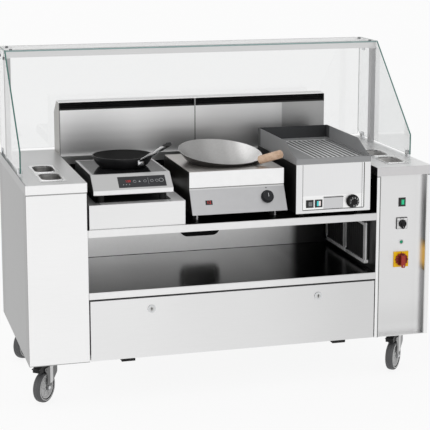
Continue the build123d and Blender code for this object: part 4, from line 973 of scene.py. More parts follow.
@dataclass
class Hood(Assembly):
    """Suction hood with a dark slot along its top."""

    face: float = 0.248
    slot: Pair = (1.090, 1.1235)
    half: float = 0.595
    gap: float = 0.005
    setback: float = 0.012
    baffle_t: float = 0.004
    slat_half: Pair = (0.005, 0.0008)
    slat_back: float = 0.003
    slat_pitch: float = 0.008
    slat_tilt: float = radians(35.0)
    slats: int = 3
    front: Pair = (0.89, 1.0885)
    mouth: Pair = (1.0885, 1.1215)
    mouth_y: Pair = (0.240, 0.2505)
    tip_x: float = 0.5925

    def build(self) -> None:
        """A dark baffle with folded slats behind each slot."""
        deep = self.face + self.setback
        wide, thin = self.slat_half
        tilt = Matrix.Rotation(self.slat_tilt, 4, "X")
        levels = [self.slot[0] + self.slat_pitch * number for number in range(1, self.slats + 1)]
        for name, low, high in (("left", -self.half, -self.gap), ("right", self.gap, self.half)):
            back = Bench.block(f"hood_baffle_{name}", (low, deep, self.slot[0]),
                               (high, deep + self.baffle_t, self.slot[1] - HAIR / 2), 0.0008)
            slat = Bench.block("slat", (low, -wide, -thin), (high, wide, thin), 0.0005)
            row = Bench.copies(f"hood_slats_{name}", slat,
                               [shift(y=deep - self.slat_back, z=level) @ tilt for level in levels])
            fit(Bench.join(f"hood_baffle_{name}", (back, row)), BLACK)

    def dress(self) -> None:
        """Brushed fronts with painted reflection that darkens downwards and to the right, painted shade and
        shadow at the ends and in the slots, and grease filters of knitted aluminium.
        """
        # Painted reflection: brightness by height and across the hood
        down = Fade(Axis.UP, ((0.895, 0.68), (0.935, 0.73), (0.97, 0.81), (1.01, 0.91), (1.05, 0.98),
                              (1.085, 1.0)))
        sideways = Fade(Axis.ACROSS, ((-0.6, 1.0), (-0.3, 1.0), (-0.045, 0.89), (0.09, 0.84), (0.345, 0.82),
                                      (0.398, 0.76), (0.402, 0.46), (0.6, 0.43)))
        opening = {"deep": self.mouth_y, "up": self.mouth}
        # Painted shade on the end faces and on the left end's front edge
        ends = Patch((0.42, 0.41, 0.39), faces=Axis.ACROSS)
        top = Patch(0.98, 0.3, up=(self.mouth[1], 1.13))
        seam = Patch(0.06, 0.4, across=about(0.0, 0.0018), up=self.front)
        corner = Patch(0.28, across=(-0.601, -0.5965), deep=(0.2475, self.mouth_y[1]), up=self.front)
        # Painted shadow in the slot, at the middle joint and at the tips, with a thin lighter line in the
        # joint
        slot = Spot(SHADOW, 0.5, deep=self.mouth_y, up=(self.mouth[0], 1.0965))
        joint = Spot(SHADOW, 0.5, across=about(0.0, 0.007), **opening)
        light = Patch(0.80, 0.4, across=about(0.0, 0.0012), **opening)
        tips = tuple(Spot(SHADOW, 0.5, across=about(x, 0.008), **opening) for x in (-self.tip_x, self.tip_x))
        dress(Sheet("hood_steel", 1.0, 0.41, streak=0.006, fades=(down, sideways),
                    patches=(ends, top, seam, corner, slot, joint, light, *tips)), "hood_left", "hood_right")
        dress(Moulded("knitted_filter", (0.35, 0.36, 0.36), 0.45, metal=1.0, grit=0.0006, grain_scale=420.0),
              "grease_filters")


@dataclass
class Screen(Assembly):
    """Glass screen with its frame, clamps and bolts."""

    bolt_x: float = 0.803
    bolt_rows: Pair = (0.220, 0.350)
    bolt_z: float = 1.322
    bolt_steps: int = 20
    bolt: Outline = ((0.0, 0.0022), (0.0028, 0.0022), (0.0028, 0.0042), (0.0055, 0.0042), (0.007, 0.0028),
                     (0.007, -0.0005), (0.0, -0.0005))
    side_clamps: Pair = (-0.171, 0.353)
    rear_clamps: float = 0.560
    clamp_z: float = 0.908
    clear: Pair = (0.75, 0.36)
    bracket_x: tuple[float, float, float] = (0.780, 0.8225, 0.8268)
    bracket_z: tuple[float, float, float] = (1.300, 1.3455, 1.3498)
    bracket_half: float = 0.014
    bracket_edge: float = 0.001
    post_z: Pair = (0.8, 1.322)

    def bracket(self, sign: float) -> list[Piece]:
        """Bracket in one upper corner.

        Args:
            sign: -1 for the left corner, 1 for the right one.

        Returns:
            Its flat and its leg.
        """
        start, wall, end = (sign * x for x in self.bracket_x)
        foot, shelf, top = self.bracket_z
        near, far = about(self.bolt_rows[1], self.bracket_half)
        made = []
        for name, inner, bottom in (("flat", start, shelf), ("leg", wall, foot)):
            low, high = sorted((inner, end))
            made.append(Bench.block(name, (low, near, bottom), (high, far, top), self.bracket_edge))
        return made

    def build(self) -> None:
        """Bolts through the panes, brackets in the corners and screws in the clamps."""
        bolts, screws, brackets = [], [], []
        for sign, pane in ((-1.0, "side_glass_left"), (1.0, "side_glass_right")):
            for row in self.bolt_rows:
                bolts.append(seat("top_glass", (sign * self.bolt_x, row, OUTSIDE), (0.0, 0.0, -1.0)))
                bolts.append(seat(pane, (sign * OUTSIDE, row, self.bolt_z), (-sign, 0.0, 0.0)))
            for row in self.side_clamps:
                start = (sign * self.clear[0], row, self.clamp_z)
                screws.append(seat("glass_clamps", start, (sign, 0.0, 0.0)))
            screws.append(seat("glass_clamps", (sign * self.rear_clamps, self.clear[1], self.clamp_z)))
            brackets += self.bracket(sign)
        head = Bench.turned("bolt", self.bolt, steps=self.bolt_steps)
        fit(Bench.copies("screen_bolts", head, bolts), DARK_CHROME)
        fit(Bench.join("screen_brackets", brackets), CHROME)
        head = Bench.turned("screw", self.bolt, steps=self.bolt_steps)
        fit(Bench.copies("clamp_screws", head, screws), ZINC)

    def dress(self) -> None:
        """Clear panes with green edges, satin frame and bright clamps."""
        clear, pale = (0.895, 0.900, 0.900), (0.81, 0.82, 0.82)
        dress(Pane("rear_glass", clear, 0.0, face=Axis.DEEP), "rear_glass")
        dress(Pane("top_glass", clear, 0.0, face=Axis.UP, edge=(0.40, 0.56, 0.55)), "top_glass")
        dress(Pane("side_glass", pale, 0.0, face=Axis.ACROSS, edge=(0.09, 0.24, 0.21)),
              "side_glass_left", "side_glass_right")
        posts = Patch((0.47, 0.47, 0.475), up=self.post_z)
        dress(Sheet("frame_aluminium", 0.74, 0.38, grain=Grain.UPRIGHT, patches=(posts,)), "glass_frame")
        dress(CHROME, "glass_clamps")


@dataclass
class Controls(Assembly):
    """Switches, selector and lamp of the control panel."""

    x: float = 0.726
    face: float = -0.362
    selector_z: float = 0.650
    lamp_z: float = 0.570
    main_z: float = 0.496
    dial_r: float = 0.0205
    dial_corner: float = 0.021
    cap_t: float = 0.0125
    cap: Outline = ((0.0, 0.0125), (0.0115, 0.0125), (0.0145, 0.0108), (0.0162, 0.006), (0.0165, 0.0),
                    (0.0, 0.0))
    pointer: Outline = ((-0.0085, 0.013), (-0.0085, -0.014), (-0.0035, -0.0212), (0.0035, -0.0212),
                        (0.0085, -0.014), (0.0085, 0.013))
    collar: Outline = ((0.0072, 0.0), (0.0105, 0.0), (0.0102, 0.0022), (0.0088, 0.0032), (0.0072, 0.0028),
                       (0.0072, 0.0))
    lobe: Outline = ((0.0, 0.0), (0.0042, 0.0), (0.0042, 0.0095), (0.003, 0.0112), (0.0, 0.0112))
    lobe_r: float = 0.0235
    lobe_y: float = -0.3672
    lobes: int = 12
    grip: Outline = ((-0.0085, 0.021), (-0.0095, -0.018), (-0.006, -0.031), (0.006, -0.031), (0.0095, -0.018),
                     (0.0085, 0.021))
    plate_r: float = 0.0285
    # Where the painted light on the fan rocker's lit face begins and ends
    lit_x: Pair = (-0.001, 0.0085)
    lit_z: Pair = (0.7300, 0.7475)

    def build(self) -> None:
        """Build what stands on the selector, the lamp and the main switch."""
        self.selector()
        collar = Bench.turned("lamp_collar", self.collar, place((self.x, self.face, self.lamp_z)))
        fit(collar, CHROME)
        self.main_switch()

    def selector(self) -> None:
        """Figures round the dial, and the cap and mark of the knob."""
        dial = seat("selector_plate", (self.x + self.dial_corner, BEFORE, self.selector_z + self.dial_corner))
        dial.translation = (self.x, dial.translation.y, self.selector_z)
        digits = Bench.dial("selector_digits", "0123", (150.0, -40.0), self.dial_r, 0.0065, dial)
        fit(digits, BLACK)
        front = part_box("selector_knob")[0].y
        cap = Bench.turned("cap", self.cap, steps=40)
        pointer = Bench.slab("pointer", self.pointer, 0.0132, 0.0016)
        cap = Bench.join("selector_cap", (cap, pointer), place((self.x, front + self.cap_t, self.selector_z)))
        fit(cap, BLACK, "selector_knob")
        mark = Bench.block("selector_mark", (-0.0005, -0.0165, 0.0), (0.0005, -0.0105, 0.0005), MARK_EDGE,
                           place((self.x, front - 0.0008, self.selector_z)))
        fit(mark, PALE_MARK, "selector_knob")

    def main_switch(self) -> None:
        """Lobes, grip and mark of the knob, and the figures on its plate."""
        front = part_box("main_switch_knob")[0].y
        middle = place((self.x, self.lobe_y, self.main_z))
        lobe = Bench.turned("lobe", self.lobe, steps=12)
        lobes = Bench.copies("main_switch_lobes", lobe,
                             [middle @ turn @ shift(self.lobe_r) for turn in turns(self.lobes)])
        fit(lobes, Switches.RED.value, "main_switch_knob")
        grip = Bench.slab("main_switch_grip", self.grip, 0.010, 0.002,
                          place((self.x, front + 0.0085, self.main_z)))
        fit(grip, Switches.GRIP.value, "main_switch_knob")
        mark = Bench.block("main_switch_mark", (-0.0007, -0.027, 0.0), (0.0007, -0.019, 0.0005), MARK_EDGE,
                           place((self.x, front - 0.0016, self.main_z)))
        fit(mark, PALE_MARK, "main_switch_knob")
        plate = place((self.x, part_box("main_switch_plate")[0].y, self.main_z))
        digits = Bench.dial("main_switch_digits", "10", (0.0, 90.0), self.plate_r, 0.006, plate)
        fit(digits, BLACK)

    def dress(self) -> None:
        """Coloured plastics of the switches, with painted shade and painted light on the fan rocker."""
        dress(Switches.FRAME.value, "switch_frames")
        # Painted shade on the rocker's left part and painted light on its lit face
        dark = Spot((0.012, 0.014, 0.013), 0.3, across=(0.70, self.x - 0.0045))
        lit = Spot((0.02, 0.72, 0.34), 0.2, across=(self.x + self.lit_x[0], self.x + self.lit_x[1]),
                   up=self.lit_z)
        dress(Moulded("green_rocker", (0.008, 0.30, 0.13), 0.25, patches=(dark, lit)), "fan_rocker")
        dress(Glow("green_lamp", (0.0, 0.30, 0.14), 0.2, power=0.12), "pilot_lamp")
        border = tuple(
            Spot(SHADOW, 0.4, **{way: (middle + low, middle + high)})
            for way, middle, low, high in (
                ("up", self.selector_z, 0.0212, 0.03),
                ("across", self.x, -0.03, -0.0208),
                ("across", self.x, 0.0228, 0.03),
                ("up", self.selector_z, -0.03, -0.0228),
            )
        )
        dress(Moulded("selector_white", 1.0, 0.3, patches=border), "selector_plate")
        dress(BLACK, "selector_knob")
        dress(Moulded("yellow_plastic", (0.97, 0.55, 0.002), 0.4, gloss=0.25), "main_switch_plate")
        dress(Switches.DEEP.value, "main_switch_knob")


@dataclass
class ServiceBay(Assembly):
    """Compartment, deck, service panel and fan."""

    lock_x: float = 0.350
    lock_z: float = 0.3745
    ring: Outline = ((0.0095, -0.001), (0.0163, -0.001), (0.0158, 0.0012), (0.0115, 0.002), (0.0095, 0.0012),
                     (0.0095, -0.001))
    key: Pair = (0.0014, 0.0068)
    wing: Pair = (0.0045, 0.0014)
    key_z: Pair = (-0.0004, 0.0006)
    lip: Pair = (FRONT - 0.002, FRONT + 0.0035)

    def build(self) -> None:
        """Rosettes and key slots of the two locks."""
        low, high = self.key_z
        for sign, side in ((-1.0, "left"), (1.0, "right")):
            lock = f"panel_lock_{side}"
            at = place((sign * self.lock_x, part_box(lock)[0].y, self.lock_z))
            fit(Bench.turned(f"lock_ring_{side}", self.ring, at, 36), CHROME, lock)
            cross = [Bench.block("slot", (-x, -y, low), (x, y, high), 0.0004, at)
                     for x, y in (self.key, self.wing)]
            fit(Bench.join(f"lock_slot_{side}", cross), BLACK, lock)

    def dress(self) -> None:
        """Bright lips with painted light fading to the right, a deck in painted shade, a floor and a rear
        wall with painted shade darkening to the right, and the panel below.
        """
        # Painted light fading along the lips, over a deck in painted shade
        along = Fade(Axis.ACROSS, ((-0.6, 1.0), (0.0, 0.93), (0.6, 0.76)))
        lip = Patch(0.93, deep=self.lip, fade=along)
        dress(Sheet("deck_steel", INSIDE_SHADE, 0.28, patches=(lip,)), "table_deck")
        # Painted shade darkening the compartment's floor and rear wall to the right
        across = Fade(Axis.ACROSS, ((-0.6, 1.0), (-0.1, 0.86), (0.15, 0.60), (0.31, 0.27), (0.37, 0.03),
                                    (0.6, 0.03)))
        far = Fade(Axis.ACROSS, ((-0.6, 1.0), (-0.1, 0.96), (0.25, 1.0), (0.41, 1.0), (0.458, 0.08),
                                 (0.6, 0.04)))
        wall = Patch(1.0, 0.3, deep=(0.160, 0.190), up=(0.4575, 0.75), fade=far)
        dress(Sheet("shelf_steel", 0.36, 0.2, fades=(across,), patches=(wall, lip)), "shelf")
        dress(Sheet("tray_steel", (0.62, 0.62, 0.61), 0.3), "base_tray")
        # Painted light fading across the panel, and a painted shadow under its top edge
        sideways = Fade(Axis.ACROSS, ((-0.6, 1.0), (0.0, 0.90), (0.6, 0.78)))
        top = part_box("service_panel")[1].z
        shade = Spot(0.05, 0.5, up=(top - SKIN, top + HAIR))
        dress(Sheet("panel_steel", 0.90, 0.36, fades=(sideways,), patches=(shade,)), "service_panel")
        dress(ZINC, "panel_lock_left", "panel_lock_right")
        dress(RUBBER, "panel_pads", "cable_port_frame")
        dress(Moulded("fan_paint", (0.28, 0.29, 0.30), 0.5), "fan_housing", "fan_impeller")


@dataclass
class Filters(Assembly):
    """Filter cassettes on the right wall of the compartment."""

    frame: float = 0.012
    post: float = 0.018
    shares: Pair = (0.7, 1.8)

    def dress(self) -> None:
        """Aluminium frames round dark filter mats, with painted light and shade on the front edges and bottom
        rails, and darker back posts.
        """
        for name in ("filter_cassette_front", "filter_cassette_rear"):
            low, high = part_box(name)
            mat = Spot(0.016, 0.6, deep=(low.y + self.frame, high.y - self.post),
                       up=(low.z + self.frame, high.z - self.frame))
            front = (low.y - HAIR, low.y + SKIN)
            third = (high.x - low.x) / 3
            start, end = (low.x + share * third for share in self.shares)
            # Painted light and shade on the front edge: a half-lit part, a lit strip and a shaded part, and a
            # bottom rail lit at the front
            near = Spot(0.50, 0.4, across=(low.x - HAIR, start), deep=front)
            strip = Spot(1.0, 0.4, across=(start, end), deep=front)
            far = Patch(0.05, 0.4, 0.6, across=(end, high.x + HAIR), deep=front)
            rearwards = Fade(Axis.DEEP, ((low.y, 1.0), (low.y + 0.06, 0.95), (high.y, 0.6)))
            rail = Spot(1.0, 0.4, up=(low.z - 0.01, low.z + self.frame), fade=rearwards)
            back = Patch(0.62, 0.4, 0.35, deep=(high.y - self.post, high.y + 0.01),
                         up=(low.z + self.frame * 2, 1.0))
            dress(Sheet(f"{name}_aluminium", 1.0, 0.4, metal=0.35,
                        patches=(mat, near, strip, far, rail, back)), name)


@dataclass
class Castors(Assembly):
    """Wheels, hubs, forks, bolts and brakes."""

    yaw: float = radians(41.0)
    trail: float = 0.038
    wheel_r: float = 0.0625
    tread: Outline = ((0.0, 0.0), (0.0, 0.0045), (0.0006, 0.005), (0.0006, 0.0058), (0.0001, 0.0063),
                      (0.0009, 0.0105), (0.003, 0.0138), (0.0065, 0.016), (0.012, 0.0156), (0.0145, 0.0144),
                      (0.0175, 0.014))
    web: Outline = ((0.0072, 0.0158), (0.013, 0.0158), (0.0148, 0.0145), (0.0158, 0.0105), (0.030, 0.0085),
                    (0.0375, 0.0092), (0.0395, 0.0128), (0.042, 0.0146), (0.0455, 0.0144), (0.046, 0.0125))
    rib: tuple[Point, Point] = ((0.0150, -0.0014, -0.0122), (0.0390, 0.0014, 0.0122))
    ribs: int = 6
    bead: Outline = ((0.0495, 0.0150), (0.0497, 0.0164), (0.0522, 0.0166), (0.0538, 0.0158), (0.0536, 0.0150),
                     (0.0495, 0.0150))
    groove: Outline = ((0.0452, 0.0120), (0.0456, 0.0150), (0.0494, 0.0158), (0.0496, 0.0120),
                       (0.0452, 0.0120))
    nut: Outline = ((0.0, 0.0075), (0.0065, 0.0075), (0.0085, 0.0060), (0.0085, 0.0), (0.0, 0.0))
    nut_z: float = 0.0204
    ring: Outline = ((0.0262, 0.0), (0.0300, 0.0), (0.0305, 0.003), (0.0285, 0.0065), (0.0262, 0.0070),
                     (0.0262, 0.0))
    ring_z: float = 0.158
    bolt: Outline = ((0.0, 0.0055), (0.006, 0.0055), (0.0075, 0.0045), (0.0075, -0.0005), (0.0, -0.0005))
    bolt_half: Pair = (0.0315, 0.041)
    plate_z: float = 0.171
    hexagon: int = 6
    flats: float = 20.0
    glint: Pair = (0.001, 0.015)
    ahead: Vector = field(init=False)

    def __post_init__(self) -> None:
        """Direction in which all four castors roll."""
        self.ahead = Vector((sin(self.yaw), cos(self.yaw), 0.0))

    def tyre(self, name: str, at: Matrix) -> Piece:
        """Rubber tyre with two shallow grooves round its tread.

        Args:
            name: Name of the piece.
            at: Frame of the wheel, Z along the axle.

        Returns:
            The piece.
        """
        side = [(self.wheel_r - drop, out) for drop, out in self.tread]
        profile = [(radius, -out) for radius, out in reversed(side)] + side[1:]
        return Bench.turned(name, profile + profile[:1], at, 72)

    def hub(self, name: str, at: Matrix) -> Piece:
        """Pale hub with a raised rim, a dished web, ribs, a boss and a bead ring on each side.

        Args:
            name: Name of the piece.
            at: Frame of the wheel, Z along the axle.

        Returns:
            The piece.
        """
        profile = [*self.web, *((radius, -out) for radius, out in reversed(self.web))]
        disc = Bench.turned("disc", profile + profile[:1], steps=48)
        star = Bench.copies("star", Bench.block("rib", *self.rib, 0.0008), turns(self.ribs))
        bead = Bench.turned("bead", self.bead, steps=56)
        beads = Bench.copies("beads", bead, (Matrix.Identity(4), HALF_TURN))
        return Bench.join(name, (disc, star, beads), at)

    def build(self) -> None:
        """Give each castor its wheel, axle nuts, dust ring and plate bolts."""
        for corner in Corner:
            tag = corner.name.lower()
            wheel, fork = f"castor_wheel_{tag}", f"castor_fork_{tag}"
            swivel = Vector((*corner.value, 0.0))
            at = place(swivel - self.trail * self.ahead + Vector((0.0, 0.0, self.wheel_r)), self.ahead)
            tyre = fit(self.tyre(f"castor_tyre_{tag}", at), Wheel.TYRE.value, wheel)
            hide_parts(wheel)
            fit(self.hub(f"castor_hub_{tag}", at), Wheel.HUB.value, wheel)
            groove = Bench.turned("groove", self.groove, steps=56)
            grooves = Bench.copies(f"castor_groove_{tag}", groove, (at, at @ HALF_TURN))
            fit(grooves, RUBBER, wheel)
            nut = Bench.turned("nut", self.nut, steps=self.hexagon)
            ends = (at @ shift(z=self.nut_z), at @ shift(z=-self.nut_z) @ HALF_TURN)
            fit(Bench.copies(f"castor_nuts_{tag}", nut, ends), CHROME, fork, self.flats)
            level = place(swivel + Vector((0.0, 0.0, self.ring_z)), ACROSS, REARWARDS)
            fit(Bench.turned(f"castor_ring_{tag}", self.ring, level, 40), ZINC, fork)
            bolt = Bench.turned("bolt", self.bolt, steps=self.hexagon)
            wide, deep = self.bolt_half
            spots = [place(swivel + Vector((x, y, self.plate_z)), ACROSS, (0.0, -1.0, 0.0))
                     for x in (-wide, wide) for y in (-deep, deep)]
            fit(Bench.copies(f"castor_bolts_{tag}", bolt, spots), ZINC, "station", self.flats)

    def dress(self) -> None:
        """Zinc forks with a painted glint, the front right one painted lighter, zinc plates and black pedals.
        """
        for corner in Corner:
            tag = corner.name.lower()
            x = corner.value[0]
            # Painted glint along each fork, and the front right fork painted lighter as it catches more light
            glint = Patch(0.60, 0.3, across=(x + self.glint[0], x + self.glint[1]), up=(0.075, 0.160))
            tone = 0.31 if corner is Corner.FRONT_RIGHT else 0.19
            dress(Sheet(f"fork_zinc_{tag}", tone, 0.4, grain=Grain.UPRIGHT, streak=0.05, patches=(glint,)),
                  f"castor_fork_{tag}")
        dress(ZINC, "castor_plates")
        dress(BLACK, "brake_pedal_front_left", "brake_pedal_front_right")


@dataclass
class Hob(Assembly):
    """Induction hob on its riser, with the pan."""

    field_x: Pair = (-0.466, -0.274)
    middle_z: float = 0.8775
    tall: float = 0.0275
    key: Outline = ((0.0052, 0.0), (0.0064, 0.0), (0.0064, PRINT), (0.0052, PRINT), (0.0052, 0.0))
    key_x: tuple[float, ...] = (-0.030, 0.012, 0.040, 0.060)
    power: float = 1.5
    arrow: Outline = ((-0.004, -0.004), (0.004, -0.004), (0.0, 0.004))
    ticks: tuple[float, ...] = (-0.078, -0.066, -0.054)
    pan: Pair = (-0.405, -0.127)
    azimuth: float = radians(-64.0)
    root_r: float = 0.113
    root_z: float = 0.9345
    rivet: Outline = ((0.0, 0.0022), (0.0022, 0.0018), (0.004, 0.0), (0.004, -0.003), (0.0, -0.003))
    rivet_in: float = 0.0045
    rivet_z: float = 0.940
    rivet_half: float = 0.009

    def build(self) -> None:
        """Build the control field and the pan's fittings."""
        self.control_field()
        self.pan_fittings()

    def control_field(self) -> None:
        """Control field with its figures and keys."""
        at = seat("hob_casing", (sum(self.field_x) / 2, BEFORE, self.middle_z))
        half = (self.field_x[1] - self.field_x[0]) / 2
        plate = Bench.block("hob_control_field", (-half, -self.tall, -HAIR), (half, self.tall, 0.0012),
                            0.0009, at)
        fit(plate, Panel.FIELD.value)
        top = at @ shift(z=0.0013)
        digits = Bench.label("hob_digits", "120", 0.0145, LIT_DIGIT, top @ shift(0.040 - half, 0.003))
        fit(digits, RED_LED)
        keys = [top @ shift(x, 0.001) for x in self.key_x]
        wide = [(radius * self.power, height) for radius, height in self.key]
        marks = [
            Bench.copies("keys", Bench.turned("key", self.key, steps=24), keys),
            Bench.turned("power", wide, top @ shift(half - 0.018, 0.002)),
            Bench.slab("arrow", self.arrow, PRINT, 0.0, top @ shift(-0.010, 0.001)),
        ]
        for x in self.ticks:
            marks.append(Bench.block("tick", (x, -0.0155, 0.0), (x + 0.003, -0.0115, PRINT), PRINT_EDGE, top))
        marks.append(Bench.block("divide", (0.0250, -0.017, 0.0), (0.0258, 0.017, PRINT), PRINT_EDGE, top))
        fit(Bench.join("hob_key_marks", marks), Panel.KEYS.value)

    def pan_fittings(self) -> None:
        """Bracket of the pan's handle, and its two rivets inside."""
        out = Vector((cos(self.azimuth), sin(self.azimuth), 0.0))
        along = Vector((-out.y, out.x, 0.0))
        root = Vector((*self.pan, self.root_z)) + self.root_r * out
        bracket = Bench.block("pan_bracket", (-0.015, -0.013, -0.004), (0.015, 0.012, 0.010), 0.003,
                              place(root, along))
        fit(bracket, CHROME, "frying_pan")
        dome = Bench.turned("dome", self.rivet, steps=16)
        inner = Vector((*self.pan, self.rivet_z)) + (self.root_r - self.rivet_in) * out
        heads = [place(inner + along * side, -along) for side in (-self.rivet_half, self.rivet_half)]
        fit(Bench.copies("pan_rivets", dome, heads), CHROME, "frying_pan")

    def dress(self) -> None:
        """Silver casing with sides in painted shade, a riser in the hob's painted shade with a painted light
        strip, black glass, black pan and steel handle.
        """
        # Painted shade on the casing's sides
        side = Spot(0.02, 0.45, faces=Axis.ACROSS)
        lip = Patch(0.92, deep=(-0.364, -0.3605))
        dress(Sheet("hob_steel", 0.62, 0.36, patches=(side, lip)), "hob_casing")
        # Painted shade of the hob on the riser's top, lighter past the hob, a painted light strip at its
        # front, and painted shadow under the hob
        beside = Fade(Axis.ACROSS, ((-0.595, 0.50), (-0.55, 0.42), (-0.28, 0.34), (-0.25, 1.0),
                                    (-0.207, 1.0)))
        shelf = Patch(0.98, 0.34, 0.6, faces=Axis.UP, fade=beside)
        strip = Patch(0.98, 0.34, 0.6, across=(-0.545, -0.27), deep=(-0.42, -0.305), faces=Axis.UP)
        under_hob_shadow = Spot(0.02, 0.5, across=(-0.56, -0.255), deep=(-0.345, 0.2), faces=Axis.UP)
        dress(Sheet("riser_steel", 0.90, 0.36, patches=(shelf, strip, under_hob_shadow)), "riser")
        border = Spot((0.30, 0.31, 0.32), 0.25, across=(-0.5625, -0.5565))
        dress(Moulded("hob_glass", (0.012, 0.012, 0.013), 0.06, grit=0.0, gloss=0.09, patches=(border,)),
              "hob_glass")
        inside = Spot(0.004, 0.36, faces=Axis.UP, side=1.0)
        dress(Moulded("pan_coating", (0.013, 0.013, 0.014), 0.34, gloss=0.24, patches=(inside,)),
              "frying_pan")
        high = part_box("pan_handle")[1].z
        tip = Spot(0.012, 0.4, up=(high - 0.016, high + 0.01))
        dress(Sheet("pan_steel", 0.72, 0.2, grain=Grain.EVEN, patches=(tip,)), "pan_handle")


@dataclass
class WokCooker(Assembly):
    """Induction wok cooker with the wok."""

    display: Pair = (-0.107, 0.785)
    window: tuple[Point, Point] = ((-0.0145, -0.0095, -0.001), (0.0145, 0.0095, 0.001))
    knob: Pair = (0.138, 0.795)
    wedge: Outline = ((-0.003, 0.003), (0.0, -0.003), (0.003, 0.003))
    wedge_rise: float = 0.0325
    mark: tuple[Point, Point] = ((-0.0008, 0.006, -0.0003), (0.0008, 0.021, 0.0004))

    def build(self) -> None:
        """Lit display, and the marks of the knob."""
        x, z = self.display
        at = seat("cooker_casing", (x, BEFORE, z))
        fit(Bench.block("cooker_window", *self.window, 0.0008, at), SHOWN)
        digits = Bench.label("cooker_digits", "12", 0.0185, LIT_DIGIT, at @ shift(z=0.0011))
        fit(digits, RED_LED)
        x, z = self.knob
        at = seat("cooker_casing", (x, BEFORE, z + self.wedge_rise))
        fit(Bench.slab("cooker_mark", self.wedge, 0.0005, 0.0, at), BLACK)
        line = Bench.block("cooker_knob_mark", *self.mark, MARK_EDGE, seat("cooker_knob", (x, BEFORE, z)))
        fit(line, PALE_MARK, "cooker_knob")

    def dress(self) -> None:
        """Pale steel with painted dark reflection on its sides, a grey steel wok with a painted highlight,
        and a wooden handle.
        """
        # Painted dark reflection on the sides, the sloped panel darker with painted shade fading to the
        # right, and a painted shadow in the crease
        side = Patch((0.045, 0.041, 0.037), 0.3, 0.7, faces=Axis.ACROSS)
        right = Fade(Axis.ACROSS, ((-0.18, 1.0), (0.08, 0.96), (0.21, 0.86)))
        panel = Patch((0.60, 0.60, 0.61), 0.4, up=(0.735, 0.8405), fade=right)
        upper = Patch(0.97, deep=(-0.3455, -0.3435), up=(0.842, 0.91))
        crease = Patch(0.34, up=(0.8375, 0.8412))
        fold = Patch(0.74, up=(0.8335, 0.8375))
        dress(Sheet("cooker_steel", (0.76, 0.73, 0.70), 0.34, patches=(panel, upper, crease, fold, side)),
              "cooker_casing")
        dress(Moulded("knob_grey", (0.022, 0.023, 0.026), 0.42, gloss=0.2), "cooker_knob")
        outside = Patch((0.055, 0.052, 0.050), 0.42, 0.6, faces=Axis.UP, side=-1.0)
        # Painted highlight brightening the wok towards its right, and a little at its left
        shine = Fade(Axis.ACROSS, ((-0.20, 1.3), (-0.05, 0.92), (0.06, 0.95), (0.10, 1.2), (0.15, 2.1),
                                   (0.20, 2.1)))
        dress(Sheet("wok_steel", (0.47, 0.465, 0.46), 0.34, 0.9, grain=Grain.EVEN, streak=0.04,
                    fades=(shine,), patches=(outside,)), "wok")
        dress(Timber("handle_wood", (0.72, 0.52, 0.38), 0.45), "wok_handle")


